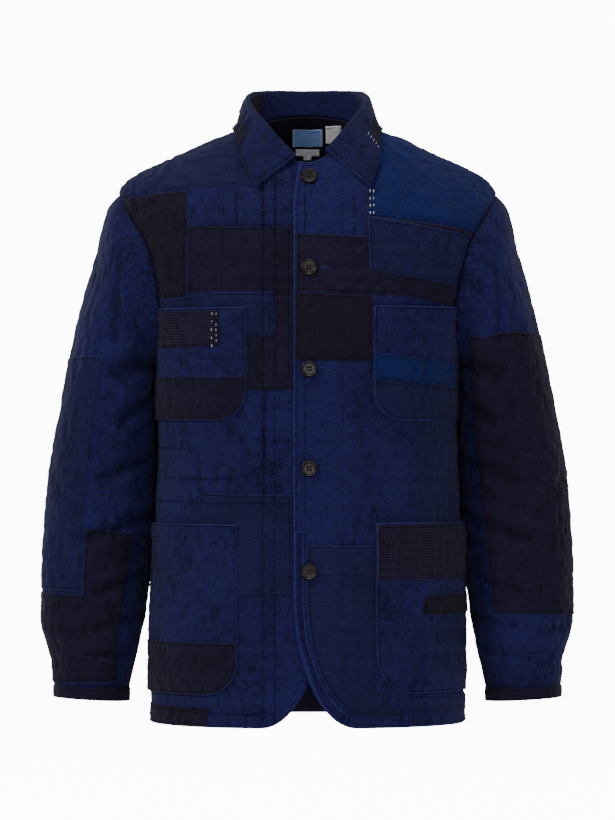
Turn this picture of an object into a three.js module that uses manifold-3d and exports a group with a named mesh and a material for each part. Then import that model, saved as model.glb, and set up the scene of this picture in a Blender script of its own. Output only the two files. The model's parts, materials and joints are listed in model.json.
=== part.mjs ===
// Patched boro jacket: a hip-length work jacket of quilted indigo cloth, filled out as when worn.
// Millimetres, +Z up. The front faces -Y and +X is the wearer's left.
// The origin is the middle of the neck, level with where the shoulders meet the collar.
import * as THREE from 'three';
import { mergeVertices } from 'three/addons/utils/BufferGeometryUtils.js';
import Module from 'manifold-3d';

const wasm = await Module();
wasm.setup();

// ---------------------------------------------------------------- driving dimensions

const wall = 2.0;              // quilted body cloth
const patchWall = 1.0;         // a patch
const gap = 0.3;               // between neighbouring pieces
const seamInset = 1.6;         // from a patch's edge to the panel's own seam
const hemZ = -722;             // bottom edge of the body
const underarmZ = -290;
const shoulderTip = { x: 231, z: -78 };
const neckHalfWidth = 75;      // from the middle to the neck end of the shoulder seam
const neckSideZ = 6;
const neckFrontDrop = 50;
const neckBackRise = 16;
const shoulderFall = 130;      // height over which the shoulder rounds down into the chest
const roundness = 2.3;         // exponent of the body's rings, 2 is an ellipse
const overlap = 24;            // each front runs this far past the middle
const frontGap = 0.8;          // between the two fronts where they overlap
const overEdgeX = -17;         // edge of the front that lies on top
const neckSlope = 7;           // the front edges lean in by this much at the neck
const buttonRadius = 10.4;
const buttonThickness = 3.6;
const buttonX = 2;
const buttonHeights = [-63, -172, -293, -412, -535];
const cuffDepth = 15;
const collarWall = 2.2;

// Body section by height: half width, and depth before and behind the side seams.
const halfWidthKeys = [[-740, 191], [-690, 191], [-588, 189], [-476, 185.5], [-354, 182], [-290, 184],
  [-270, 189], [-240, 199], [-208, 210], [-170, 221], [-127, 231], [-78, 240], [0, 245], [60, 245]];
const frontDepthKeys = [[-740, 152], [-500, 143], [-320, 137], [-200, 130], [-110, 115], [-40, 90], [50, 75]];
const backDepthKeys = [[-740, 148], [-450, 128], [-300, 124], [-150, 128], [-60, 118], [22, 108], [50, 104]];
// Height of the shoulder line at each distance from the middle.
const shoulderKeys = [[0, 41], [20, 38.5], [40, 31], [60, 18.5], [75, 6], [120, -14], [161, -33], [200, -51],
  [217, -61], [231, -78], [245, -100]];
// Distance of the armhole seam from the middle at each height.
const armholeKeys = [[-290, 184], [-270, 181], [-240, 178], [-208, 179], [-170, 185], [-146, 192],
  [-127, 202], [-103, 217], [-78, 231]];

// ---------------------------------------------------------------- curves and the body's surface

// Smooth curve through [position, value] keys in rising order.
function follow(keys, position) {
  const at = Math.min(Math.max(position, keys[0][0]), keys[keys.length - 1][0]);
  let i = 0;
  while (i < keys.length - 2 && at > keys[i + 1][0]) i += 1;
  const slope = (k) => (keys[k + 1][1] - keys[k][1]) / (keys[k + 1][0] - keys[k][0]);
  const tangent = (k) => {
    if (k === 0) return slope(0);
    if (k === keys.length - 1) return slope(k - 1);
    const before = slope(k - 1);
    const after = slope(k);
    if (before * after <= 0) return 0;
    const spanBefore = keys[k][0] - keys[k - 1][0];
    const spanAfter = keys[k + 1][0] - keys[k][0];
    return (before * spanAfter + after * spanBefore) / (spanBefore + spanAfter);
  };
  const span = keys[i + 1][0] - keys[i][0];
  const t = (at - keys[i][0]) / span;
  const t2 = t * t;
  const t3 = t2 * t;
  return (2 * t3 - 3 * t2 + 1) * keys[i][1] + (t3 - 2 * t2 + t) * span * tangent(i)
    + (3 * t2 - 2 * t3) * keys[i + 1][1] + (t3 - t2) * span * tangent(i + 1);
}

const clamp01 = (value) => Math.min(Math.max(value, 0), 1);
const mix = (a, b, t) => a + (b - a) * t;
const smoothstep = (a, b, value) => {
  const t = clamp01((value - a) / (b - a));
  return t * t * (3 - 2 * t);
};

const halfWidth = (z) => follow(halfWidthKeys, z);
const shoulderHeight = (x) => follow(shoulderKeys, Math.abs(x));
const seamX = (z) => (z < underarmZ ? halfWidth(z) : follow(armholeKeys, z));

// Depth of the body from the side seams' plane: a superellipse ring, rounded off below the shoulder line.
function bodyDepth(x, z, keys) {
  const across = clamp01(1 - (Math.abs(x) / halfWidth(z)) ** roundness);
  const fallen = clamp01(1 - (shoulderHeight(x) - z) / shoulderFall);
  const under = clamp01(1 - fallen ** roundness);
  return follow(keys, z) * (across * under) ** (1 / roundness);
}

// Outward direction of the body's surface, from the slope of its implicit form.
function bodyNormal(point, keys) {
  const level = (x, y, z) => {
    const fallen = clamp01(1 - (shoulderHeight(x) - z) / shoulderFall);
    return (Math.abs(y) / follow(keys, z)) ** roundness
      - (1 - (Math.abs(x) / halfWidth(z)) ** roundness) * (1 - fallen ** roundness);
  };
  const step = 0.5;
  const { x, y, z } = point;
  return new THREE.Vector3(
    level(x + step, y, z) - level(x - step, y, z),
    level(x, y + step, z) - level(x, y - step, z),
    level(x, y, z + step) - level(x, y, z - step),
  ).normalize();
}

// Top edge of a body panel: neckline as far as the shoulder seam, then the shoulder line.
function frontTop(x) {
  if (Math.abs(x) >= neckHalfWidth) return shoulderHeight(x);
  return neckSideZ - neckFrontDrop * (1 - (x / neckHalfWidth) ** 2) ** 2;
}
function backTop(x) {
  if (Math.abs(x) >= neckHalfWidth) return shoulderHeight(x);
  return neckSideZ + neckBackRise * (1 - (x / neckHalfWidth) ** 2);
}

// ---------------------------------------------------------------- sheets of cloth

// A sheet is a grid. Each node holds its place on the flat cloth, its spot in space and its outward normal.
function makeSheet(columns, rows, nodeAt) {
  return rows.map((row) => columns.map((column) => nodeAt(column, row)));
}

const offset = (node, distance) => node.spot.clone().addScaledVector(node.normal, distance);

function solidFromTriangles(positions, indices) {
  const geometry = new THREE.BufferGeometry();
  geometry.setAttribute('position', new THREE.Float32BufferAttribute(positions, 3));
  geometry.setIndex(indices);
  const volume = signedVolume(positions, indices);
  if (volume < 0) {
    for (let i = 0; i < indices.length; i += 3) {
      [indices[i + 1], indices[i + 2]] = [indices[i + 2], indices[i + 1]];
    }
    geometry.setIndex(indices);
  }
  return geometry;
}

function signedVolume(positions, indices) {
  const corner = (k) => new THREE.Vector3().fromArray(positions, indices[k] * 3);
  let volume = 0;
  for (let i = 0; i < indices.length; i += 3) volume += corner(i).dot(corner(i + 1).cross(corner(i + 2)));
  return volume;
}

// Closed wall between two faces of a grid, pointAt(row, column, face) with face 0 or 1.
// A round grid joins its last column to its first.
function closedGrid(rowCount, columnCount, round, pointAt) {
  const positions = [];
  const indices = [];
  for (const face of [0, 1]) {
    for (let r = 0; r < rowCount; r += 1) {
      for (let c = 0; c < columnCount; c += 1) positions.push(...pointAt(r, c, face).toArray());
    }
  }
  const at = (r, c, face) => (face * rowCount + r) * columnCount + (c % columnCount);
  const quad = (a, b, c, d) => indices.push(a, b, c, a, c, d);
  const lastColumn = round ? columnCount : columnCount - 1;
  for (let r = 0; r < rowCount - 1; r += 1) {
    for (let c = 0; c < lastColumn; c += 1) {
      quad(at(r, c, 1), at(r, c + 1, 1), at(r + 1, c + 1, 1), at(r + 1, c, 1));
      indices.push(at(r, c, 0), at(r + 1, c + 1, 0), at(r, c + 1, 0));
      indices.push(at(r, c, 0), at(r + 1, c, 0), at(r + 1, c + 1, 0));
    }
  }
  for (let c = 0; c < lastColumn; c += 1) {
    quad(at(0, c, 0), at(0, c + 1, 0), at(0, c + 1, 1), at(0, c, 1));
    const top = rowCount - 1;
    quad(at(top, c, 1), at(top, c + 1, 1), at(top, c + 1, 0), at(top, c, 0));
  }
  if (!round) {
    for (let r = 0; r < rowCount - 1; r += 1) {
      quad(at(r, 0, 1), at(r + 1, 0, 1), at(r + 1, 0, 0), at(r, 0, 0));
      const side = columnCount - 1;
      quad(at(r, side, 0), at(r + 1, side, 0), at(r + 1, side, 1), at(r, side, 1));
    }
  }
  return solidFromTriangles(positions, indices);
}

// The whole of a sheet as a wall, from one distance off its face to another.
function wholeSheet(sheet, inner, outer, round = false) {
  const pointAt = (r, c, face) => offset(sheet[r][c], face ? outer : inner);
  return closedGrid(sheet.length, sheet[0].length, round, pointAt);
}

// ---------------------------------------------------------------- pieces cut from a sheet

function toManifold(geometry) {
  const bare = geometry.clone();
  bare.deleteAttribute('normal');
  bare.deleteAttribute('uv');
  const merged = mergeVertices(bare, 1e-5);
  return new wasm.Manifold(new wasm.Mesh({
    numProp: 3,
    vertProperties: new Float32Array(merged.attributes.position.array),
    triVerts: new Uint32Array(merged.index.array),
  }));
}

// The flat cloth is bowed before it is cut, so that no two of its triangles lie in one plane and get joined.
const bowHeight = (r, c) => (r * r + c * c) / 2;
const bowLimit = 400;

function prism(outline) {
  const shape = new THREE.Shape(outline.map(([p, q]) => new THREE.Vector2(p, q)));
  const geometry = new THREE.ExtrudeGeometry(shape, { depth: bowLimit, bevelEnabled: false });
  geometry.translate(0, 0, -1);
  return toManifold(geometry);
}

// Where a flat point lies on the sheet, by linear interpolation in the triangle that holds it.
function locate(sheet, p, q) {
  let best = null;
  const consider = (...corners) => {
    const [a, b, c] = corners.map(([r, column]) => sheet[r][column]);
    const [ap, aq] = a.flat;
    const [bp, bq] = b.flat;
    const [cp, cq] = c.flat;
    const det = (bq - cq) * (ap - cp) + (cp - bp) * (aq - cq);
    const wa = ((bq - cq) * (p - cp) + (cp - bp) * (q - cq)) / det;
    const wb = ((cq - aq) * (p - cp) + (ap - cp) * (q - cq)) / det;
    const wc = 1 - wa - wb;
    const inside = Math.min(wa, wb, wc);
    if (!best || inside > best.inside) best = { inside, corners, weights: [wa, wb, wc] };
  };
  for (let r = 0; r < sheet.length - 1; r += 1) {
    for (let c = 0; c < sheet[0].length - 1; c += 1) {
      consider([r, c], [r, c + 1], [r + 1, c + 1]);
      consider([r, c], [r + 1, c + 1], [r + 1, c]);
    }
  }
  const spot = new THREE.Vector3();
  const normal = new THREE.Vector3();
  let bow = 0;
  best.corners.forEach(([r, c], k) => {
    spot.addScaledVector(sheet[r][c].spot, best.weights[k]);
    normal.addScaledVector(sheet[r][c].normal, best.weights[k]);
    bow += bowHeight(r, c) * best.weights[k];
  });
  return { spot, normal, bow };
}

// The part of a sheet inside its flat outlines, as a wall between two distances off its face.
function cutSheet(sheet, inner, outer, ...outlines) {
  const pointAt = (r, c, face) => new THREE.Vector3(...sheet[r][c].flat, bowHeight(r, c) + face);
  let flat = toManifold(closedGrid(sheet.length, sheet[0].length, false, pointAt));
  for (const outline of outlines) flat = flat.intersect(prism(outline));
  const mesh = flat.getMesh();
  const positions = [];
  for (let i = 0; i < mesh.vertProperties.length; i += 3) {
    const [p, q, height] = mesh.vertProperties.slice(i, i + 3);
    const node = locate(sheet, p, q);
    const face = Math.round(height - node.bow);
    positions.push(...offset(node, face ? outer : inner).toArray());
  }
  return solidFromTriangles(positions, Array.from(mesh.triVerts));
}

// ---------------------------------------------------------------- scene graph and cloths

const jacket = new THREE.Group();

const cloths = {
  indigo: [0x1b2f6b, 0.95],
  midnight: [0x14152b, 0.95],
  brownBlack: [0x1a1426, 0.95],
  dotTwill: [0x1e2c5e, 0.95],
  brightSashiko: [0x1a458f, 0.95],
  dashed: [0x1c2140, 0.95],
  inside: [0x15142a, 0.95],
  label: [0x6f96cf, 0.8],
  labelWhite: [0xe9e9ea, 0.8],
  horn: [0x1b1516, 0.25],
};

function add(name, cloth, geometry) {
  const [color, roughness] = cloths[cloth];
  const material = new THREE.MeshStandardMaterial({ color, roughness, metalness: 0 });
  const mesh = new THREE.Mesh(geometry, material);
  mesh.name = name;
  jacket.add(mesh);
}

// Layers on a panel: 0 is next to the cloth, 1 lies on a patch or is a pocket, 2 lies on a pocket.
function layer(number) {
  const inner = gap + number * (patchWall + gap);
  return [inner, inner + patchWall];
}

// ---------------------------------------------------------------- body panels

const columnTurn = 73.2 * Math.PI / 180;    // ring angle at the shoulder tip
const neckColumn = 0.2035;                  // the column that ends where the neck meets the shoulder seam
const bodyColumns = [0, neckColumn / 2, neckColumn, 0.35, 0.5, 0.64, 0.77, 0.89, 1];
const armholeAngles = [180, 155, 130, 105, 80, 55, 32, 15, 0].map((degrees) => degrees * Math.PI / 180);
const armholeZ = (angle) => mix(underarmZ, shoulderTip.z, (1 + Math.cos(angle)) / 2);
const bodyRows = [0, 0.17, 0.34, 0.51,
  ...armholeAngles.map((angle) => (armholeZ(angle) - hemZ) / (shoulderTip.z - hemZ))];

const acrossRing = (z, angle) => halfWidth(z) * Math.sin(angle) ** (2 / roundness);
const ringAngle = (z) => Math.asin(clamp01(seamX(z) / halfWidth(z)) ** (roundness / 2));

// Distance from the middle and height of a body panel's node: columns follow the ring, rows rise to the top.
function bodyNode(column, row, top) {
  let x = 0;
  let topZ = top(x);
  for (let pass = 0; pass < 6; pass += 1) {
    x = acrossRing(topZ, column * columnTurn);
    topZ = top(x);
  }
  const z = mix(hemZ, topZ, row);
  const endZ = mix(hemZ, shoulderTip.z, row);
  const reach = endZ < underarmZ ? Math.PI / 2 : ringAngle(endZ);
  return [row === 1 ? x : acrossRing(z, column * reach), z];
}

function bodySpot(x, z, keys, forward, lift) {
  const turned = Math.max(bodyDepth(x, z, keys), gap / 2);
  const spot = new THREE.Vector3(x, forward ? -turned : turned, z);
  const normal = bodyNormal(new THREE.Vector3(x, forward ? -turned : turned, z), keys);
  return { flat: [x, z], spot: spot.addScaledVector(normal, lift), normal };
}

// One front, side 1 for the wearer's left, which lies on top, and -1 for the right, which runs under it.
function frontSheet(side) {
  const edgeColumns = [-overlap, 0, overlap].map((x) => ({ x }));
  return makeSheet([...edgeColumns, ...bodyColumns.slice(1)], bodyRows, (column, row) => {
    const straight = column.x !== undefined;
    const [x, z] = straight ? [column.x, mix(hemZ, frontTop(column.x), row)] : bodyNode(column, row, frontTop);
    const lift = side > 0 ? (wall + frontGap) * (1 - smoothstep(overlap, 3 * overlap, x)) : 0;
    return bodySpot(side * x, z, frontDepthKeys, true, lift);
  });
}

function backSheet() {
  const columns = [...bodyColumns.slice(1).map((column) => -column).reverse(), ...bodyColumns];
  return makeSheet(columns, bodyRows, (column, row) => {
    const [x, z] = bodyNode(Math.abs(column), row, backTop);
    return bodySpot(Math.sign(column) * x, z, backDepthKeys, false, 0);
  });
}

// Outline of a front: straight down the edge, then cut away in a quarter ellipse to the hem.
function frontOutline(edgeX, bend, sweepX, side) {
  const outline = [];
  const steps = 8;
  for (let i = 0; i <= steps; i += 1) {
    const angle = (i / steps) * Math.PI / 2;
    outline.push([edgeX + side * sweepX * (1 - Math.cos(angle)), bend + (hemZ - bend) * Math.sin(angle)]);
  }
  outline.push([side * 260, hemZ - 5], [side * 260, 60], [edgeX + side * neckSlope, 60],
    [edgeX + side * neckSlope, -46], [edgeX, -90]);
  return outline;
}

// A strip along the cut-away edge of a front: the outer line, then back along a line inside it.
function edgeStrip(edgeX, bend, sweepX, side, width, topZ, lastAngle) {
  const steps = 7;
  const outerLine = [];
  const innerLine = [];
  for (let i = 0; i <= steps; i += 1) {
    const angle = (i / steps) * lastAngle;
    const x = edgeX + side * (sweepX * (1 - Math.cos(angle)) + 0.4);
    const z = bend + (hemZ - bend) * Math.sin(angle) + 0.4;
    const slope = new THREE.Vector2(sweepX * Math.sin(angle), (hemZ - bend) * Math.cos(angle)).normalize();
    outerLine.push([x, z]);
    innerLine.push([x - side * slope.y * width, z + slope.x * width]);
  }
  const straight = topZ > bend;
  const top = straight ? [[edgeX + side * (width + 0.4), topZ], [edgeX + side * 0.4, topZ]] : [];
  return [...top, ...outerLine, ...innerLine.reverse()];
}

// The panel inside its own side seam and armhole, where patches may lie.
function seamAllowance(side) {
  const pastMiddle = 40;
  const top = 60;
  const tip = shoulderTip.x - 5;
  const step = 12;
  const bottom = hemZ + 1;
  const outline = [[-side * pastMiddle, bottom], [-side * pastMiddle, top], [side * tip, top]];
  for (let z = shoulderTip.z - 4; z > hemZ; z -= step) outline.push([side * (seamX(z) - seamInset), z]);
  outline.push([side * (seamX(hemZ) - seamInset), bottom]);
  return outline;
}

const overFront = frontSheet(1);
const underFront = frontSheet(-1);
const back = backSheet();
const edgeBend = -560;          // height where the front edges start to curve away
const edgeSweep = 76;           // how far they have swept back at the hem
const stripWidth = 13;
const underEdgeX = 20;
const overOutline = frontOutline(overEdgeX, edgeBend, edgeSweep, 1);
const underOutline = frontOutline(underEdgeX, edgeBend, edgeSweep, -1);
const overAllowance = seamAllowance(1);
const underAllowance = seamAllowance(-1);

add('front_left', 'indigo', cutSheet(overFront, -wall, 0, overOutline));
add('front_right', 'indigo', cutSheet(underFront, -wall, 0, underOutline));
add('back', 'indigo', wholeSheet(back, -wall, 0));

// ---------------------------------------------------------------- patches on the fronts

const patch = (name, cloth, sheet, number, ...outlines) => {
  add(name, cloth, cutSheet(sheet, ...layer(number), ...outlines));
};

function box(left, right, bottom, top) {
  return [[left, bottom], [right, bottom], [right, top], [left, top]];
}

// The part of the under front that the over front's edge leaves clear.
const overEdgeShadow = [[overEdgeX - 1, -560], [-11, -620], [-4.5, -655], [8, -700], [8, -760], [-260, -760],
  [-260, 60], [overEdgeX - 1, 60]];

function rightPatch(name, cloth, number, outline) {
  patch(name, cloth, underFront, number, outline, underAllowance, overEdgeShadow, underOutline);
}
function leftPatch(name, cloth, number, outline) {
  patch(name, cloth, overFront, number, outline, overAllowance, overOutline);
}

rightPatch('shoulder_patch_right', 'dotTwill', 0,
  [[-68, -72], [-144, -75], [-169, -77], [-240, -84], [-240, 60], [-73, 5], [-70, -14], [-50, -33], [-50, -72]]);
rightPatch('collar_side_patch', 'dotTwill', 0, box(-48, -27, -70, -44));
rightPatch('armhole_patch_right', 'brownBlack', 0, [[-145.5, -78], [-145.5, -204.5], [-240, -215.5], [-240, -87]]);
rightPatch('chest_patch_right', 'midnight', 0,
  [[-19, -122], [-19, -318], [-72, -318], [-72, -252.5], [-39.5, -252.5], [-39.5, -199], [-105, -199],
    [-143.5, -202], [-143.5, -121]]);
rightPatch('strip_patch_right', 'dotTwill', 0,
  [[-41, -200.5], [-42, -251], [-73, -251], [-73, -268], [-200, -270], [-200, -212.5], [-105, -201]]);
rightPatch('belly_patch_right', 'dotTwill', 0,
  [[-16, -444], [-16, -566], [-129, -566], [-129, -441], [-82, -443]]);
rightPatch('hem_patch_right', 'midnight', 0, [[-119, -698], [-119, -730], [-220, -730], [-220, -699]]);
leftPatch('shoulder_patch_left', 'brightSashiko', 0,
  [[85, 60], [84.5, -64], [76, -89], [72.5, -107], [169, -117.5], [240, -137], [240, 60]]);
leftPatch('yoke_patch_left', 'dotTwill', 1, [[72, -109.5], [197, -131], [177, -192], [74, -174]]);
leftPatch('chest_band_left', 'midnight', 0,
  [[overEdgeX + 1, -131], [71, -134], [71, -110], [169, -121], [240, -139.5], [240, -220], [170, -216],
    [116, -205], [overEdgeX + 1, -200]]);
leftPatch('chest_patch_left', 'brownBlack', 0,
  [[overEdgeX + 1, -201.5], [77, -205], [77, -283], [overEdgeX + 1, -283]]);
leftPatch('side_patch_left', 'dotTwill', 0, box(129, 200, -479, -346));
const overStrip = { top: -487, lastAngle: 1.35 };
leftPatch('edge_strip_left', 'indigo', 0,
  edgeStrip(overEdgeX, edgeBend, edgeSweep, 1, stripWidth, overStrip.top, overStrip.lastAngle));
const underStrip = { bend: -600, sweep: 70, top: -610, lastAngle: 1.1 };
rightPatch('edge_strip_right', 'indigo', 0,
  edgeStrip(underEdgeX, underStrip.bend, underStrip.sweep, -1, stripWidth, underStrip.top, underStrip.lastAngle));
const insideStrip = frontOutline(overEdgeX + stripWidth + 1, edgeBend, edgeSweep, 1)
  .map(([x, z]) => [x, z + (z < edgeBend ? stripWidth * (edgeBend - z) / (edgeBend - hemZ) : 0)]);
add('skirt_patch_left', 'dotTwill', cutSheet(overFront, ...layer(0),
  [[-20, -504], [82, -504], [82, -676], [121, -715], [121, -730], [-20, -730]], overAllowance, insideStrip));
leftPatch('hem_patch_left', 'indigo', 0, [[122.5, -730], [122.5, -683], [220, -688], [220, -730]]);

// ---------------------------------------------------------------- pockets

const pocketWall = 1.4;
const pocketLift = gap + patchWall + gap;

// A patch pocket: its outer side follows the side seam and its lower corners are arcs.
function pocketOutline({ side, inner, innerTop, bottom, innerRadius, outerRadius }, outer) {
  const outline = [[side * inner, innerTop]];
  const arc = (cx, cz, radius, from) => {
    for (let i = 0; i <= 5; i += 1) {
      const angle = from + (i / 5) * Math.PI / 2;
      outline.push([side * (cx - radius * Math.cos(angle)), cz - radius * Math.sin(angle)]);
    }
  };
  arc(inner + innerRadius, bottom + innerRadius, innerRadius, 0);
  arc(outer - outerRadius, bottom + outerRadius, outerRadius, Math.PI / 2);
  outline.push([side * outer, innerTop]);
  return outline;
}

const pockets = [
  { name: 'chest_pocket_right', side: -1, sheet: underFront, inner: 73, innerTop: -219, bottom: -355,
    innerRadius: 36, outerRadius: 10 },
  { name: 'chest_pocket_left', side: 1, sheet: overFront, inner: 78.5, innerTop: -217, bottom: -355,
    innerRadius: 36, outerRadius: 6 },
  { name: 'hip_pocket_right', side: -1, sheet: underFront, inner: 83, innerTop: -479, bottom: -684,
    innerRadius: 40, outerRadius: 10 },
  { name: 'hip_pocket_left', side: 1, sheet: overFront, inner: 82, innerTop: -477, bottom: -682,
    innerRadius: 46, outerRadius: 6 },
];
const pocketOutlines = {};
for (const pocket of pockets) {
  const outline = pocketOutline(pocket, 200);
  pocketOutlines[pocket.name] = outline;
  const allowance = pocket.side > 0 ? overAllowance : underAllowance;
  add(pocket.name, 'indigo', cutSheet(pocket.sheet, pocketLift, pocketLift + pocketWall, outline, allowance));
}

// What is sewn on a pocket lies on its face, inside its outline and just short of its edge.
const pocketTrim = pocketLift + pocketWall + gap;
function pocketPatch(name, cloth, pocketName, outline) {
  const pocket = pockets.find((each) => each.name === pocketName);
  const allowance = pocket.side > 0 ? overAllowance : underAllowance;
  add(name, cloth, cutSheet(pocket.sheet, pocketTrim, pocketTrim + patchWall, outline, pocketOutlines[pocketName],
    allowance));
}

pocketPatch('dashed_patch_chest_right', 'dashed', 'chest_pocket_right', box(-176, -103, -266, -222));
pocketPatch('foot_patch_chest_right', 'midnight', 'chest_pocket_right', box(-200, -60, -360, -302));
pocketPatch('band_patch_chest_left', 'brightSashiko', 'chest_pocket_left',
  [[70, -272], [175, -283], [175, -315], [70, -304]]);
pocketPatch('foot_patch_chest_left', 'dotTwill', 'chest_pocket_left',
  [[70, -305.5], [200, -318.5], [200, -360], [70, -360]]);
pocketPatch('foot_patch_hip_right', 'midnight', 'hip_pocket_right', box(-200, -70, -690, -621));
pocketPatch('dashed_patch_hip_left', 'dashed', 'hip_pocket_left', box(70, 200, -546, -479));
pocketPatch('small_patch_hip_left', 'brownBlack', 'hip_pocket_left', box(137, 200, -588, -565));

// ---------------------------------------------------------------- inside the neck and hem of the back

const insideSkin = (name, cloth, number, outline) => {
  const [near, far] = layer(number);
  add(name, cloth, cutSheet(back, -wall - far, -wall - near, outline));
};
insideSkin('neck_facing', 'inside', 0, [[-72, 40], [-72, -14], [-60, -62], [60, -62], [72, -14], [72, 40]]);
insideSkin('hem_facing', 'inside', 0, box(-150, 150, -719, -693));
insideSkin('woven_label', 'label', 1, box(-19, 19, -13, 8));
insideSkin('care_label', 'labelWhite', 1, box(23, 43, -9, 12));
insideSkin('size_label', 'labelWhite', 1,
  [[-15, -16], [-15, -24], [-5, -24], [-5, -29], [5, -29], [5, -24], [15, -24], [15, -16]]);

// ---------------------------------------------------------------- sleeves and cuffs

// Rings down a sleeve: outer point, inner point, half depth, how far it hangs behind the side seam,
// and how much it is turned about the vertical.
const sleeveRings = [
  { outer: [231, -78], inner: [184.5, -290], depth: 78, behind: 0, turn: 0 },
  { outer: [244, -97], inner: [188, -298], depth: 79, behind: 1, turn: 0.02 },
  { outer: [256, -148], inner: [189.5, -318], depth: 78, behind: 3, turn: 0.06 },
  { outer: [272, -205], inner: [190.5, -345], depth: 76, behind: 7, turn: 0.1 },
  { outer: [287, -268], inner: [191, -372], depth: 74, behind: 10, turn: 0.12 },
  { outer: [302, -348], inner: [191.5, -408], depth: 72, behind: 11, turn: 0.13 },
  { outer: [313, -420], inner: [193, -452], depth: 70, behind: 9, turn: 0.13 },
  { outer: [320, -490], inner: [197, -506], depth: 66, behind: 5, turn: 0.13 },
  { outer: [323, -550], inner: [199, -556], depth: 63, behind: 0, turn: 0.12 },
  { outer: [323, -590], inner: [200, -591], depth: 60, behind: -5, turn: 0.1 },
  { outer: [320, -613], inner: [204, -613], depth: 57, behind: -8, turn: 0.08 },
  { outer: [313, -635], inner: [208, -636], depth: 52, behind: -11, turn: 0.05 },
  { outer: [309.8, -652], inner: [212, -654], depth: 49, behind: -13, turn: 0.03 },
  { outer: [309.8, -677.5], inner: [217.5, -680], depth: 46.5, behind: -15, turn: 0 },
];
const sleeveAngles = [...armholeAngles.slice().reverse(), ...armholeAngles.slice(1, -1).map((angle) => -angle)];
const sleeveSides = sleeveAngles.length;
const sleeveRoundness = 2.15;
const firstColumn = 3 - sleeveSides / 2;    // a patch's window opens at the back of the sleeve

// A point of the armhole seam: angle 0 at the shoulder tip, a quarter turn at the front, half at the underarm.
function armholeSpot(angle) {
  const z = armholeZ(angle);
  const x = seamX(z);
  const forward = Math.sin(angle) > 0;
  const depth = bodyDepth(x, z, forward ? frontDepthKeys : backDepthKeys);
  return new THREE.Vector3(x + gap * (2 - Math.cos(angle)), forward ? -depth : depth, z);
}

function sleeveSpot(ring, angle) {
  const [outerX, outerZ] = ring.outer;
  const [innerX, innerZ] = ring.inner;
  const along = Math.cos(angle);
  const across = Math.sin(angle);
  const round = (value) => Math.sign(value) * Math.abs(value) ** (2 / sleeveRoundness);
  const x = (outerX + innerX) / 2 + ((outerX - innerX) / 2) * round(along);
  const z = (outerZ + innerZ) / 2 + ((outerZ - innerZ) / 2) * round(along);
  const depth = -ring.depth * round(across);
  return new THREE.Vector3(x - ring.turn * depth, ring.behind + depth, z);
}

function sleeveSheet(side) {
  const grid = sleeveRings.map((ring, r) => {
    const nodes = [];
    for (let c = 0; c < sleeveSides; c += 1) {
      const angle = sleeveAngles[c];
      const spot = r === 0 ? armholeSpot(angle) : sleeveSpot(ring, angle);
      nodes.push({ flat: [c, r], spot: new THREE.Vector3(side * spot.x, spot.y, spot.z) });
    }
    return nodes;
  });
  const wrap = (r, c) => grid[Math.min(Math.max(r, 0), grid.length - 1)][(c + sleeveSides) % sleeveSides].spot;
  grid.forEach((nodes, r) => nodes.forEach((node, c) => {
    const around = wrap(r, c + 1).clone().sub(wrap(r, c - 1));
    const down = wrap(r + 1, c).clone().sub(wrap(r - 1, c));
    node.normal = around.cross(down).normalize().multiplyScalar(side);
  }));
  return grid;
}

// A window of a sleeve's grid, cut to an outline in columns and rows.
function sleevePatch(name, cloth, sheet, outline) {
  const columns = [];
  for (let c = firstColumn; c <= firstColumn + sleeveSides; c += 1) columns.push(c);
  const open = sheet.map((nodes) => columns.map((c) => {
    const node = nodes[(c + sleeveSides) % sleeveSides];
    return { ...node, flat: [c, node.flat[1]] };
  }));
  add(name, cloth, cutSheet(open, gap, gap + patchWall, outline));
}

const cuffTilt = 0.03;          // its lower edge rises by this share of the distance outwards
const cuffMiddleX = 264;
const cuffPad = 0.4;            // a cuff is this much thicker than the sleeve on each face
const sleeves = { right: sleeveSheet(-1), left: sleeveSheet(1) };
for (const [name, side] of [['right', -1], ['left', 1]]) {
  add(`sleeve_${name}`, 'indigo', wholeSheet(sleeves[name], -wall, 0, true));
  const last = sleeves[name][sleeveRings.length - 1];
  const cuff = [gap, cuffDepth / 2, cuffDepth].map((level) => last.map((node) => {
    const spot = node.spot.clone();
    const tilt = cuffTilt * (side * spot.x - cuffMiddleX);
    spot.z -= level - (level / cuffDepth) * tilt;
    return { flat: node.flat, spot, normal: new THREE.Vector3(node.normal.x, node.normal.y, 0).normalize() };
  }));
  add(`cuff_${name}`, 'midnight', wholeSheet(cuff, -wall - cuffPad, cuffPad, true));
}
sleevePatch('elbow_patch_right', 'dotTwill', sleeves.right,
  [[-1.5, 4.2], [1.8, 4.1], [3, 3.8], [4.15, 3.3], [4.15, 8.2], [-1.5, 8.2]]);
sleevePatch('forearm_patch_right', 'midnight', sleeves.right,
  [[4.25, 6.8], [6.2, 6.8], [5.8, 10.2], [5.9, 12.7], [-1.5, 12.9], [-1.5, 8.3], [4.25, 8.3]]);
sleevePatch('long_patch_left', 'midnight', sleeves.left,
  [[-1.5, 3.8], [1, 3.7], [2, 3.6], [3, 3.3], [4, 2.7], [5, 1.9], [5.9, 0.7], [6.3, 3.4], [6.1, 6.2], [5.9, 8.9],
    [-1.5, 9.1]]);

// ---------------------------------------------------------------- collar

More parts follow.
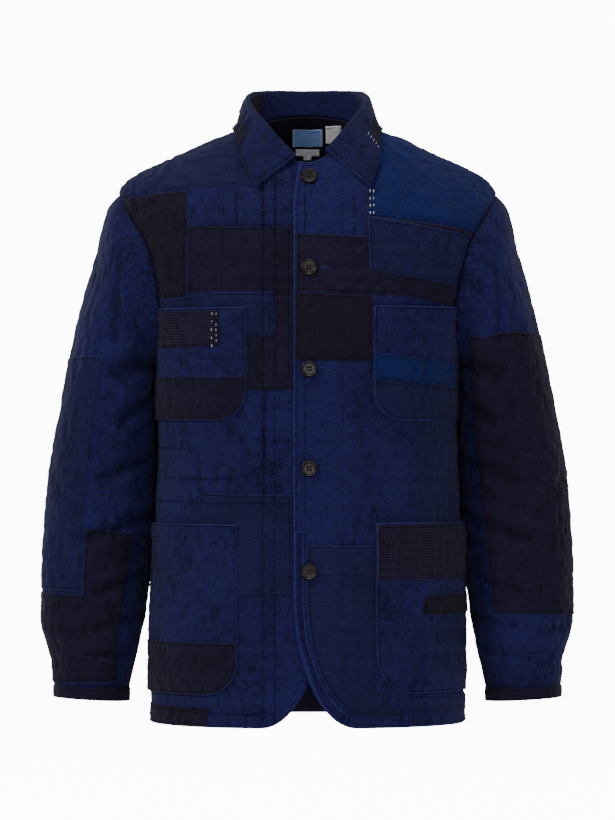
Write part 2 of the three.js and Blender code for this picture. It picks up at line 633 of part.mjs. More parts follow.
// Keys by turn round the neck, 0 at the middle of the back and 180 degrees at the middle of the front.
const rollKeys = {
  x: [[0, 0], [45, 51], [70, 67], [90, 71], [115, 65], [140, 46], [155, 30], [168, 15]],
  y: [[0, 73], [45, 55], [70, 28], [90, 4], [115, -28], [140, -61], [155, -78], [168, -88]],
  z: [[0, 51], [45, 50], [70, 46], [90, 39], [115, 24], [140, 0], [155, -20], [168, -36]],
};
const edgeKeys = {
  x: [[0, 0], [45, 63], [70, 85], [90, 90], [115, 86], [140, 79], [155, 70], [168, 61]],
  z: [[0, 2], [45, 0], [70, -1], [90, -2], [115, -15], [140, -41], [155, -58], [168, -75]],
};
const collarEnds = { right: 168, left: 162 };
const leftPointReach = 13;      // the left point lies this much further out, with the front that is on top
const collarLift = 5.4;         // clear of the shoulders and the patches on them
const standLift = 3.6;          // the collar starts this far above the neckline

// A point that is too close to the body is moved out along the body's surface direction.
function clearBody(point) {
  const forward = point.y < 0;
  const keys = forward ? frontDepthKeys : backDepthKeys;
  const z = Math.min(point.z, shoulderHeight(point.x) - 0.5);
  const depth = bodyDepth(point.x, z, keys);
  const spot = new THREE.Vector3(point.x, forward ? -depth : depth, z);
  const normal = bodyNormal(spot, keys);
  const height = point.clone().sub(spot).dot(normal);
  return height < collarLift ? point.clone().addScaledVector(normal, collarLift - height) : point;
}

function collarSection(turn, side) {
  const angle = turn * Math.PI / 180;
  const x = neckHalfWidth * Math.sin(angle);
  const forward = turn > 90;
  const neckZ = forward ? frontTop(x) : backTop(x);
  const neckY = forward ? -bodyDepth(x, neckZ, frontDepthKeys) : bodyDepth(x, neckZ, backDepthKeys);
  const neck = new THREE.Vector3(x - 1.5 * Math.sin(angle), neckY * 0.985, neckZ + standLift);
  const roll = new THREE.Vector3(follow(rollKeys.x, turn), follow(rollKeys.y, turn), follow(rollKeys.z, turn));
  const outward = new THREE.Vector3(Math.sin(angle), Math.cos(angle), 0);
  const edgeTurn = side > 0 ? turn * collarEnds.right / collarEnds.left : turn;
  const reach = side > 0 ? leftPointReach * smoothstep(100, collarEnds.left, turn) : 0;
  const edge = new THREE.Vector3(follow(edgeKeys.x, edgeTurn) + reach, 0, follow(edgeKeys.z, edgeTurn));
  const edgeKeysHere = forward ? frontDepthKeys : backDepthKeys;
  const edgeDepth = bodyDepth(edge.x, Math.min(edge.z, shoulderHeight(edge.x) - 0.5), edgeKeysHere);
  edge.y = forward ? -edgeDepth : edgeDepth;
  const crown = roll.clone().addScaledVector(outward, 2.6).setZ(roll.z + 2.2);
  const fold = roll.clone().addScaledVector(outward, 5.4).setZ(roll.z - 0.6);
  const points = [neck, neck.clone().lerp(roll, 0.5), roll, crown, fold,
    clearBody(fold.clone().lerp(edge, 0.35)), clearBody(fold.clone().lerp(edge, 0.7)), clearBody(edge)];
  return points.map((point) => new THREE.Vector3(side * point.x, point.y, point.z));
}

const collarTurns = [18, 34, 48, 60, 70, 78, 84, 90, 96, 103, 110, 119, 128, 140, 150, 157];
const collarStations = [-collarEnds.right, ...collarTurns.map((turn) => -turn).reverse(), 0, ...collarTurns,
  collarEnds.left];

function collarSheet() {
  const grid = collarStations.map((turn) => collarSection(Math.abs(turn), turn < 0 ? -1 : 1));
  const sheet = grid.map((section, r) => section.map((spot, c) => {
    const next = section[Math.min(c + 1, section.length - 1)].clone().sub(section[Math.max(c - 1, 0)]);
    const along = grid[Math.min(r + 1, grid.length - 1)][c].clone().sub(grid[Math.max(r - 1, 0)][c]);
    return { flat: [c, r], spot, normal: next.cross(along).normalize() };
  }));
  return sheet;
}

const collar = collarSheet();
add('collar', 'indigo', wholeSheet(collar, -collarWall / 2, collarWall / 2));

// Patches lie on the faces that show. A corner is a turn round the neck, negative on the right, and a
// place across the collar: 0 at the neck seam, 2 to 4 at the fold and 7 at the outer edge.
function collarPatch(name, cloth, corners) {
  const outline = corners.map(([turn, place]) => {
    const after = collarStations.findIndex((station) => station >= turn);
    const before = collarStations[after - 1];
    return [place, after - 1 + (turn - before) / (collarStations[after] - before)];
  });
  const near = -collarWall / 2 - 2 * gap;
  add(name, cloth, cutSheet(collar, near - patchWall, near, outline));
}
collarPatch('collar_dark_patch_right', 'midnight', [[-88, 5.6], [-88, 6.8], [-126, 6.8], [-126, 5.7]]);
collarPatch('collar_twill_patch_right', 'dotTwill', [[-64, 4.2], [-64, 5.2], [-112, 5.2], [-112, 4.3]]);
collarPatch('collar_stand_patch', 'midnight', [[-84, 0.2], [-84, 1.9], [-50, 1.9], [-50, 0.2]]);
collarPatch('collar_dark_patch_left', 'midnight', [[91, 5.2], [91, 6.8], [124, 6.8], [118, 5.1]]);

// ---------------------------------------------------------------- buttons

// A dished button with a raised rim and four thread holes, its back on the over front.
function buttonSolid() {
  const r = buttonRadius;
  const h = buttonThickness;
  const profile = [[0, 0], [r * 0.8, 0], [r, h * 0.35], [r, h * 0.8], [r * 0.9, h], [r * 0.74, h * 0.85],
    [r * 0.66, h * 0.6], [0, h * 0.55]].map(([x, y]) => new THREE.Vector2(x, y));
  const lathe = new THREE.LatheGeometry(profile, 16);
  let solid = toManifold(lathe);
  for (const [sx, sy] of [[-1, -1], [1, -1], [-1, 1], [1, 1]]) {
    const hole = new THREE.CylinderGeometry(1.1, 1.1, h * 3, 6);
    hole.translate(sx * 2, 0, sy * 2);
    solid = solid.subtract(toManifold(hole));
  }
  const mesh = solid.getMesh();
  return solidFromTriangles(Array.from(mesh.vertProperties), Array.from(mesh.triVerts));
}

buttonHeights.forEach((z, i) => {
  const geometry = buttonSolid();
  const at = locate(overFront, buttonX, z);
  const tilt = new THREE.Quaternion().setFromUnitVectors(new THREE.Vector3(0, 1, 0), at.normal.normalize());
  geometry.applyQuaternion(tilt);
  const seat = at.spot.clone().addScaledVector(at.normal, patchWall + 3 * gap);
  geometry.translate(seat.x, seat.y, seat.z);
  add(`button_${i + 1}`, 'horn', geometry);
});

export default jacket;
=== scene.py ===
"""Looks of the patched boro jacket: crinkled indigo panels with patches, pockets, collar, cuffs and buttons.

Sizes are millimetres on the cloth, and become metres when they go into a mesh."""

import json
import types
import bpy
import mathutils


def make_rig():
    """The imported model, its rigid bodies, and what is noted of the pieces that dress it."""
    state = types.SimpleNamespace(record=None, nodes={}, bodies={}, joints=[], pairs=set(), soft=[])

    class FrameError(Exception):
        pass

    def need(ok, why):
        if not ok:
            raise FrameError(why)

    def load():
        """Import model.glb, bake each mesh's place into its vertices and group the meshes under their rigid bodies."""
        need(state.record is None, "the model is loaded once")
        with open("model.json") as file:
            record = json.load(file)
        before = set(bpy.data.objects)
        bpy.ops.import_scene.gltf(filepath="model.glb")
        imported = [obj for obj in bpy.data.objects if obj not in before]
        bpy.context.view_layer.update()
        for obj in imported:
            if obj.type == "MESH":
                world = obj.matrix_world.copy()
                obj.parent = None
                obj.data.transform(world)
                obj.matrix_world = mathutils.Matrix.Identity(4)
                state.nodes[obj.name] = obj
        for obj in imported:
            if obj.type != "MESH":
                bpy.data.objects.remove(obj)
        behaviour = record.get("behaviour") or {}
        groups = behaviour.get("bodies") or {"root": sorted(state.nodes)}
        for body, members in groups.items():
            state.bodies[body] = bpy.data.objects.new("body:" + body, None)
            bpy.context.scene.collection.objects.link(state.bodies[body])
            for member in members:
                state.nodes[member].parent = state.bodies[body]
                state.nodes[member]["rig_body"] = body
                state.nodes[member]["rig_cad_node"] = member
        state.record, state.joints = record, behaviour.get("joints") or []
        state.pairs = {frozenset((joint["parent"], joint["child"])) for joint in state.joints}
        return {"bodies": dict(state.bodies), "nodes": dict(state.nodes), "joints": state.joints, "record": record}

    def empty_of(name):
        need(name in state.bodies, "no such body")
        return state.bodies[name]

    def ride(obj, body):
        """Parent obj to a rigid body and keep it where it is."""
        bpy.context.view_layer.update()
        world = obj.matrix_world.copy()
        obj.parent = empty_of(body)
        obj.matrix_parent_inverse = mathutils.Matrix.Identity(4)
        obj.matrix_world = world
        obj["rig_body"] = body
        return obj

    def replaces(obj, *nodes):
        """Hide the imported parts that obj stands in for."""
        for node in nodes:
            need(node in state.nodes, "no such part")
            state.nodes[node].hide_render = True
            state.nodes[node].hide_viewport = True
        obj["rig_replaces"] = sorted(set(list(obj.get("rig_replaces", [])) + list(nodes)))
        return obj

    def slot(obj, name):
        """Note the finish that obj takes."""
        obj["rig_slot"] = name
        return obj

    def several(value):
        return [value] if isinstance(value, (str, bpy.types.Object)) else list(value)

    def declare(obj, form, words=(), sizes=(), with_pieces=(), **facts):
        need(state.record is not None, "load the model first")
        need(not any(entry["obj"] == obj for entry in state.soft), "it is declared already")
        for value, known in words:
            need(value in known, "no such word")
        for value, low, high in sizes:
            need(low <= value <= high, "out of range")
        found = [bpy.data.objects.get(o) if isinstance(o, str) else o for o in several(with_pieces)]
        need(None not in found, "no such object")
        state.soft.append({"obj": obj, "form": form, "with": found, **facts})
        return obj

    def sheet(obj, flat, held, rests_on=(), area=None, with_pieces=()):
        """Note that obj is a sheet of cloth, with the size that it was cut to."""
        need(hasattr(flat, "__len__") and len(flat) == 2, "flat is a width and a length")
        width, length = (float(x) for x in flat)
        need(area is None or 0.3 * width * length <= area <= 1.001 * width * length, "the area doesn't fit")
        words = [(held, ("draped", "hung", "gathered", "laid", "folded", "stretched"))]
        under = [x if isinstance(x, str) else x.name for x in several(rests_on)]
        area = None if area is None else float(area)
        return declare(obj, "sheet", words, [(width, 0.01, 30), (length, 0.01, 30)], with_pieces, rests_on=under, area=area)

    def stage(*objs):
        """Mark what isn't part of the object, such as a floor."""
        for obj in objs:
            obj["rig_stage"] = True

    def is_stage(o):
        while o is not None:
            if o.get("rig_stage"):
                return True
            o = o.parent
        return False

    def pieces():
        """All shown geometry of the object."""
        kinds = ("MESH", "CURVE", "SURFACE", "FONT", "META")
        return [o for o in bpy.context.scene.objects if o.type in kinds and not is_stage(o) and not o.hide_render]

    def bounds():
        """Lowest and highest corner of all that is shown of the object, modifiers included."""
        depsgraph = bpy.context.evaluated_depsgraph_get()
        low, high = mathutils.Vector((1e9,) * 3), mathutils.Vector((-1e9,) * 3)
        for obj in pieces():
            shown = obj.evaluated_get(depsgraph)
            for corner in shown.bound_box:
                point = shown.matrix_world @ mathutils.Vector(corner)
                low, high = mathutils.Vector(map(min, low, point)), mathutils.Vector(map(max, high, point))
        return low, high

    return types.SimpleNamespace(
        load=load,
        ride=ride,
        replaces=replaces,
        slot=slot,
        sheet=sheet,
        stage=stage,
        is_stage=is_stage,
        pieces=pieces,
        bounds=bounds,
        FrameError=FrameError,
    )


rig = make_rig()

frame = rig.load()
cad_box = [list(corner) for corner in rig.bounds()]

import json
import bpy
import numpy as np
from mathutils import Vector

# ---------------------------------------------------------------- the front panels
# Two layers of indigo cotton quilted together and washed until they crinkle. The wearer's left front buttons
# over the right one. Each is cut away in a curve to the hem, and sewn to the back and sleeves at its edges.
ROUND = 2.3                       # exponent of the body's rings
FALL, RISE = 130, 118             # shoulder rounding: its height, and cloth per radian of its turn
GIRTH = 176                       # cloth per radian of the body's turn
HEM, UNDERARM, TIP = -722, -290, -78
HALF_WIDTH = [(-740, 191), (-690, 191), (-588, 189), (-476, 185.5), (-354, 182), (-290, 184), (-270, 189),
              (-240, 199), (-208, 210), (-170, 221), (-127, 231), (-78, 240), (0, 245), (60, 245)]
SHOULDER = [(0, 41), (20, 38.5), (40, 31), (60, 18.5), (75, 6), (120, -14), (161, -33), (200, -51),
            (217, -61), (231, -78), (245, -100)]
ARMHOLE = [(-290, 184), (-270, 181), (-240, 178), (-208, 179), (-170, 185), (-146, 192), (-127, 202),
           (-103, 217), (-78, 231)]
FRONT_DEPTH = [(-740, 152), (-500, 143), (-320, 137), (-200, 130), (-110, 115), (-40, 90), (50, 75)]
BACK_DEPTH = [(-740, 148), (-450, 128), (-300, 124), (-150, 128), (-60, 118), (22, 108), (50, 104)]


def follow(keys, at):
    """A smooth curve through (place, value) keys: cubic spans whose end slopes are weighted means of the two
    neighbouring slopes, and zero at a turning point."""
    x, y = np.array(keys, float).T
    at = np.clip(np.asarray(at, float), x[0], x[-1])
    slope, gap = np.diff(y) / np.diff(x), np.diff(x)
    mean = (slope[:-1] * gap[1:] + slope[1:] * gap[:-1]) / (gap[1:] + gap[:-1])
    tangent = np.concatenate([slope[:1], np.where(slope[:-1] * slope[1:] > 0, mean, 0), slope[-1:]])
    i = np.clip(np.searchsorted(x, at, side="right") - 1, 0, len(x) - 2)
    t = (at - x[i]) / gap[i]
    return ((2 * t**3 - 3 * t**2 + 1) * y[i] + (t**3 - 2 * t**2 + t) * gap[i] * tangent[i]
            + (3 * t**2 - 2 * t**3) * y[i + 1] + (t**3 - t**2) * gap[i] * tangent[i + 1])


def ease(low, high, value):
    """0 below low, 1 above high and a smooth S between."""
    t = np.clip((np.asarray(value, float) - low) / (high - low), 0, 1)
    return t * t * (3 - 2 * t)


def body_depth(x, z, keys):
    """How far the body's surface lies from the side seams' plane: D((1-|x/A|^n)(1-t^n))^(1/n), where t grows
    from 0 to 1 over the last stretch below the shoulder line."""
    across = np.clip(1 - (np.abs(x) / follow(HALF_WIDTH, z)) ** ROUND, 0, 1)
    risen = np.clip(1 - (follow(SHOULDER, np.abs(x)) - z) / FALL, 0, 1)
    return follow(keys, z) * (across * np.clip(1 - risen**ROUND, 0, 1)) ** (1 / ROUND)


def body_normal(spots, keys):
    """Outward direction: the slope of |y/D|^n - (1-|x/A|^n)(1-t^n), taken by small steps along each axis."""
    def level(x, y, z):
        risen = np.clip(1 - (follow(SHOULDER, np.abs(x)) - z) / FALL, 0, 1)
        return ((np.abs(y) / follow(keys, z)) ** ROUND
                - (1 - (np.abs(x) / follow(HALF_WIDTH, z)) ** ROUND) * (1 - risen**ROUND))
    steps = 0.5 * np.eye(3)
    slope = np.stack([level(*(spots + step).T) - level(*(spots - step).T) for step in steps], -1)
    return slope / np.maximum(np.linalg.norm(slope, axis=1, keepdims=True), 1e-12)


def ripple(seed, long, wide, flat):
    """Smooth noise from -1 to 1: each corner of a grid of long by wide cells holds a seeded direction, and a
    point blends how far it lies along the four directions round it."""
    turns = np.random.default_rng(seed).uniform(0, 2 * np.pi, (64, 64))
    u, v = flat[:, 0] / wide, flat[:, 1] / long
    iu, iv = np.floor(u).astype(int), np.floor(v).astype(int)
    fu, fv = u - iu, v - iv
    su, sv = (f**3 * (f * (f * 6 - 15) + 10) for f in (fu, fv))
    def pull(du, dv):
        turn = turns[(iu + du) % 64, (iv + dv) % 64]
        return np.cos(turn) * (fu - du) + np.sin(turn) * (fv - dv)
    low = pull(0, 0) * (1 - su) + pull(1, 0) * su
    high = pull(0, 1) * (1 - su) + pull(1, 1) * su
    return 1.5 * (low * (1 - sv) + high * sv)


def crinkle(seed, flat):
    """Washed quilting: sharp-crested ripples at two sizes, 1 - 2|noise|, over soft swells."""
    crest = 1 - 2 * np.abs(ripple(seed, 30, 17, flat))
    fine = 1 - 2 * np.abs(ripple(seed + 1, 15, 9, flat))
    return 1.3 * crest + 0.9 * fine + 1.6 * ripple(seed + 2, 95, 55, flat)


def spaced(corners, step=2.5):
    """Points along a line of corners, no further apart than the step."""
    corners = np.asarray(corners, float)
    spans = np.diff(corners, axis=0)
    counts = np.maximum(np.ceil(np.hypot(*spans.T) / step).astype(int), 1)
    runs = [a + d * np.arange(n)[:, None] / n for a, d, n in zip(corners[:-1], spans, counts)]
    return np.vstack([*runs, corners[-1:]])


def nearest(points, starts, spans):
    """Distance from each point to the nearest of many short spans, that span's index and the spot on it."""
    length2 = np.maximum((spans**2).sum(1), 1e-9)
    found = []
    for part in np.array_split(points, len(points) * len(starts) // 3_000_000 + 1):
        away = part[:, None] - starts
        t = np.clip((away * spans).sum(-1) / length2, 0, 1)
        left = ((away - t[..., None] * spans) ** 2).sum(-1)
        i = left.argmin(1)
        rows = np.arange(len(part))
        found.append((np.sqrt(left[rows, i]), i, starts[i] + t[rows, i, None] * spans[i]))
    return [np.concatenate(column) for column in zip(*found)]


def seam_valleys(flat, lines):
    """Depth of the stitched lines: each is a narrow valley, 1/(1+(d/w)^2) deep, with puckers that run off it
    on both sides as a wave along the line."""
    total = np.zeros(len(flat))
    for number, (line, depth) in enumerate(lines):
        spans = np.diff(line, axis=0)
        away, i, _ = nearest(flat, line[:-1], spans)
        along = np.concatenate([[0], np.cumsum(np.hypot(*spans.T))])[i]
        wave = np.sin(along / 2.7 + 2 * np.sin(along / 11 + number))
        total += depth * (-1 / (1 + (away / 2.0) ** 2) + 0.45 * wave * np.exp(-((away - 4.5) / 4.5) ** 2))
    return total


ARC_P = np.linspace(0, GIRTH * np.pi / 2, 400)
section = np.stack([184 * np.sin(ARC_P / GIRTH) ** (2 / ROUND), 140 * np.cos(ARC_P / GIRTH) ** (2 / ROUND)],
                   -1)
ARC_LENGTH = np.concatenate([[0], np.cumsum(np.hypot(*np.diff(section, axis=0).T))])


class BodyFace:
    """One face of the body, unrolled. Flat p runs to the right as seen from outside and w runs up; both grow
    evenly with the angles of the two superellipses that give the body its section and its shoulders."""

    def __init__(self, facing, depth_keys, seed, lap=0):
        self.facing, self.keys, self.seed, self.lap = facing, depth_keys, seed, lap
        self.seams, self.valleys = None, []

    def flat(self, corners):
        x, z = np.asarray(corners, float).T
        across = np.clip(np.abs(x) / follow(HALF_WIDTH, z), 0, 1)
        p = -self.facing * np.sign(x) * GIRTH * np.arcsin(across ** (ROUND / 2))
        foot = follow(SHOULDER, np.abs(x)) - FALL
        risen = np.clip((z - foot) / FALL, 0, 1)
        return np.stack([p, np.where(z < foot, z, foot + RISE * np.arcsin(risen ** (ROUND / 2)))], -1)

    def spot(self, flat):
        turn = np.clip(np.abs(flat[:, 0]) / GIRTH, 0, np.pi / 2)
        share = np.sin(turn) ** (2 / ROUND)
        z, w = flat[:, 1], flat[:, 1]
        for _ in range(14):
            x = follow(HALF_WIDTH, z) * share
            foot = follow(SHOULDER, x) - FALL
            rise = np.sin(np.clip((w - foot) / RISE, 0, np.pi / 2)) ** (2 / ROUND)
            z = np.where(w < foot, w, foot + FALL * rise)
        x = -self.facing * np.sign(flat[:, 0]) * follow(HALF_WIDTH, z) * share
        return np.stack([x, self.facing * body_depth(x, z, self.keys), z], -1)

    def cloth(self, flat):
        """The flat place with p turned into true length round the section."""
        return np.stack([np.sign(flat[:, 0]) * np.interp(np.abs(flat[:, 0]), ARC_P, ARC_LENGTH), flat[:, 1]],
                        -1)

    def normal(self, flat, spots):
        return body_normal(spots, self.keys)

    def height(self, flat, spots):
        """Crinkles and valleys, fading out at the seams; the over front also lies one thickness further out."""
        away = nearest(flat, self.seams[:-1], np.diff(self.seams, axis=0))[0]
        rise = (crinkle(self.seed, self.cloth(flat)) + seam_valleys(flat, self.valleys)) * ease(0, 18, away)
        return rise + self.lap * (1 - ease(24, 72, spots[:, 0]))


def lie(surface, flat):
    """Spots of a cloth's face, already moved out by its own height, with their normals and that height."""
    spots = surface.spot(flat)
    normals = surface.normal(flat, spots)
    rise = surface.height(flat, spots)
    return spots + normals * rise[:, None], normals, rise


def inside(points, loops):
    """True where a point lies inside all the closed loops: an odd number of edges cross the line to its right."""
    held = np.ones(len(points), bool)
    for loop in loops:
        a, b = loop, np.roll(loop, -1, axis=0)
        tall = np.where(a[:, 1] == b[:, 1], 1e-9, b[:, 1] - a[:, 1])
        for part in np.array_split(np.arange(len(points)), len(points) * len(loop) // 4_000_000 + 1):
            x, y = points[part, 0, None], points[part, 1, None]
            crossed = (a[:, 1] > y) != (b[:, 1] > y)
            held[part] &= (crossed & (x < a[:,
                                            0] + (y - a[:, 1]) / tall * (b[:, 0] - a[:, 0]))).sum(1) % 2 == 1
    return held


def closed(surface, corners):
    """A closed outline as flat points in counter-clockwise order, without its repeated last point."""
    loop = surface.flat(spaced([*corners, corners[0]]))[:-1]
    turned = np.roll(loop, -1, axis=0)
    area = (loop[:, 0] * turned[:, 1] - turned[:, 0] * loop[:, 1]).sum() / 2
    return loop if area > 0 else loop[::-1]


def drawn_in(loop, inset):
    """A loop moved inwards by an inset, along the mean of its neighbouring edges' directions."""
    along = np.roll(loop, -1, axis=0) - np.roll(loop, 1, axis=0)
    along /= np.maximum(np.hypot(*along.T)[:, None], 1e-9)
    return loop + inset * np.stack([-along[:, 1], along[:, 0]], -1)


class Cut:
    """The cut of a piece: what lies inside all its loops. Its border is every stretch of a loop that is inside
    the others, with the direction inwards on the left of each stretch."""

    def __init__(self, loops):
        self.loops = loops
        starts, spans, corners = [], [], []
        for loop in loops:
            span = np.roll(loop, -1, axis=0) - loop
            others = [other for other in loops if other is not loop]
            held = inside(loop + span / 2, others)
            before = np.roll(span, 1, axis=0)
            bend = np.abs(np.arctan2(before[:, 0] * span[:, 1] - before[:, 1] * span[:, 0],
                                     (before * span).sum(1)))
            corners.append(loop[(bend > 0.45) & inside(loop, others)])
            starts.append(loop[held])
            spans.append(span[held])
        self.starts, self.spans, self.corners = map(np.vstack, (starts, spans, corners))
        length = np.maximum(np.hypot(*self.spans.T)[:, None], 1e-9)
        self.inward = np.stack([-self.spans[:, 1], self.spans[:, 0]], -1) / length

    def border(self, points):
        return nearest(points, self.starts, self.spans)

    def grid(self, step):
        """Square cells whose centres are inside. Border nodes move to the nearest spot of the border, the
        nearest one to each corner goes on it, and the others relax to the mean of their neighbours."""
        low, high = self.starts.min(0), self.starts.max(0)
        count = np.maximum(np.rint((high - low) / step).astype(int), 2)
        axes = [np.linspace(low[k], high[k], count[k] + 1) for k in (0, 1)]
        nodes = np.stack(np.meshgrid(*axes, indexing="ij"), -1)
        middle = (nodes[:-1, :-1] + nodes[1:, 1:]) / 2
        kept = np.zeros(count + 2, bool)
        kept[1:-1, 1:-1] = inside(middle.reshape(-1, 2), self.loops).reshape(count)
        touching = sum(kept[i:i + count[0] + 1, j:j + count[1] + 1].astype(int) for i in (0, 1) for j in (0,
                                                                                                          1))
        rim, core = (touching > 0) & (touching < 4), touching == 4
        _, index, spots = self.border(nodes[rim])
        inward = self.inward[index]
        for corner in self.corners:
            i = ((spots - corner) ** 2).sum(1).argmin()
            near = np.hypot(*(self.starts - corner).T) < 3.5
            spots[i], lean = corner, self.inward[near].mean(0)
            inward[i] = 1.3 * lean / max(np.hypot(*lean), 0.3)
        nodes[rim] = spots
        for _ in range(12):
            mean = (nodes[:-2, 1:-1] + nodes[2:, 1:-1] + nodes[1:-1, :-2] + nodes[1:-1, 2:]) / 4
            nodes[1:-1, 1:-1][core[1:-1, 1:-1]] = mean[core[1:-1, 1:-1]]
        used = rim | core
        number = np.full(used.shape, -1)
        number[used] = np.arange(used.sum())
        i, j = np.nonzero(kept[1:-1, 1:-1])
        cells = np.stack([number[i, j], number[i + 1, j], number[i + 1, j + 1], number[i, j + 1]], -1)
        edges = [np.stack([number[i + a, j + b], number[i + c, j + d]], -1)[~kept[i + 1 + e, j + 1 + f]]
                 for a, b, c, d, e, f in ((0, 0, 1, 0, 0, -1), (1, 0, 1, 1, 1, 0), (1, 1, 0, 1, 0, 1),
                                          (0, 1, 0, 0, -1, 0))]
        lean = np.zeros((used.sum(), 2))
        lean[number[rim]] = inward
        return nodes[used], cells, np.vstack(edges), rim[used], lean


def put_mesh(name, points, faces, cut=None, marks=()):
    """A mesh object from whole arrays: points in millimetres, faces as rows of corners (-1 ends a triangle),
    the flat cut as its UV map in metres, and named numbers at its points."""
    sides = (faces >= 0).sum(1)
    corners = faces[faces >= 0]
    mesh = bpy.data.meshes.new(name)
    mesh.vertices.add(len(points))
    mesh.vertices.foreach_set("co", (points * 0.001).astype(np.float32).ravel())
    mesh.loops.add(len(corners))
    mesh.loops.foreach_set("vertex_index", corners.astype(np.int32))
    mesh.polygons.add(len(faces))
    mesh.polygons.foreach_set("loop_start", np.concatenate([[0], np.cumsum(sides)[:-1]]).astype(np.int32))
    mesh.polygons.foreach_set("use_smooth", np.ones(len(faces), bool))
    if cut is not None:
        uv = mesh.uv_layers.new(name="cut")
        uv.data.foreach_set("uv", (cut[corners] * 0.001).astype(np.float32).ravel())
    for mark, values in dict(marks).items():
        mesh.attributes.new(mark, "FLOAT", "POINT").data.foreach_set("value", values.astype(np.float32))
    mesh.update(calc_edges=True)
    mesh.validate()
    piece = bpy.data.objects.new(name, mesh)
    bpy.context.scene.collection.objects.link(piece)
    return piece


def cut_piece(node, surface, loops, inner, outer, finish, slot, step=3.0, seat=None, bulge=None, wide=0):
    """A piece of cloth cut to its loops and laid on a surface, as a closed wall from inner to outer. Its edge is
    turned under: full height one millimetre in, half height at the border. seat is where the sewn edge comes
    down to, bulge adds height by place, and wide is a bent strip's own width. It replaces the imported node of
    that name."""
    cut = Cut(loops)
    flat, cells, edges, rim, lean = cut.grid(step)
    edge = np.where(rim, 0, cut.border(flat)[0])
    turned = flat + lean * (1.0 if outer - inner > 0.5 else 0.2)
    extra = np.zeros(len(flat)) if bulge is None else bulge(flat, edge)
    ring = np.nonzero(rim)[0]
    seated = np.full(len(flat), float(inner)) + extra * (edge > 0)
    if seat is not None:
        seated[ring] = np.where(lean[ring, 1] < -0.7, inner, seat)
    spots, normals, rise = lie(surface, turned)
    end_spots, end_normals, _ = lie(surface, flat[ring])
    top = spots + normals * (outer + extra)[:, None]
    lower = end_spots + end_normals * (outer * 0.45 + seated[ring] * 0.55)[:, None]
    upper = lower * 0.35 + top[ring] * 0.65 + end_normals * (outer - inner) * 0.14
    under = spots + normals * seated[:, None]
    under[ring] = end_spots + end_normals * seated[ring, None]
    total, around = len(flat), len(ring)
    place_in_ring = np.full(total, -1)
    place_in_ring[ring] = np.arange(around)
    a, b = edges.T
    levels = [(a, b), *((place_in_ring[a] + k, place_in_ring[b] + k) for k in (total, total + around)),
              (a + total + 2 * around, b + total + 2 * around)]
    skirts = [np.stack([high[0], low[0], low[1], high[1]], -1) for high, low in zip(levels[:-1], levels[1:])]
    faces = np.vstack([cells, *skirts, cells[:, ::-1] + total + 2 * around])
    order = np.concatenate([np.arange(total), ring, ring, np.arange(total)])
    marks = {"edge": edge[order], "rise": rise[order]}
    piece = put_mesh(f"{node}_cloth", np.vstack([top, upper, lower, under]), faces,
                     surface.cloth(flat)[order], marks)
    piece.data.materials.append(finish)
    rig.ride(piece, "root")
    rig.replaces(piece, node)
    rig.slot(piece, slot)
    size = np.ptp(cut.starts, axis=0) * 0.001
    across, up = (flat[cells[:, k]] - flat[cells[:, m]] for k, m in ((2, 0), (3, 1)))
    drawn = np.abs(across[:, 0] * up[:, 1] - across[:, 1] * up[:, 0]).sum() / 2 * 1e-6
    smooth = surface.spot(flat)
    across, up = (smooth[cells[:, k]] - smooth[cells[:, m]] for k, m in ((2, 0), (3, 1)))
    area = np.linalg.norm(np.cross(across, up), axis=1).sum() / 2 * 1e-6
    size = size * np.sqrt(area / drawn)
    size = (area / wide * 1000, wide * 0.001) if wide else size
    size = [round(float(length), 3) for length in size]
    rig.sheet(piece, flat=tuple(size), held="hung", area=round(float(min(area, size[0] * size[1])), 6))
    return piece


class Value:
    """A number over the cloth: a shader socket whose operators add Math nodes."""

    def __init__(self, finish, socket):
        self.finish, self.socket = finish, socket

    def math(self, operation, *others):
        return self.finish.node("ShaderNodeMath", {"operation": operation}, dict(enumerate((self, *others))))

    def __add__(self, other): return self.math("ADD", other)
    def __mul__(self, other): return self.math("MULTIPLY", other)
    def __sub__(self, other): return self.math("SUBTRACT", other)
    def __truediv__(self, other): return self.math("DIVIDE", other)
    def __rsub__(self, other): return self.finish.node("ShaderNodeMath", {"operation": "SUBTRACT"},
                                                       {0: other, 1: self})
    __radd__, __rmul__ = __add__, __mul__

    def between(self, low, high):
        """0 below low, 1 above high and a smooth S between."""
        sockets = {"Value": self, "From Min": low, "From Max": high}
        return self.finish.node("ShaderNodeMapRange", {"interpolation_type": "SMOOTHSTEP"}, sockets)


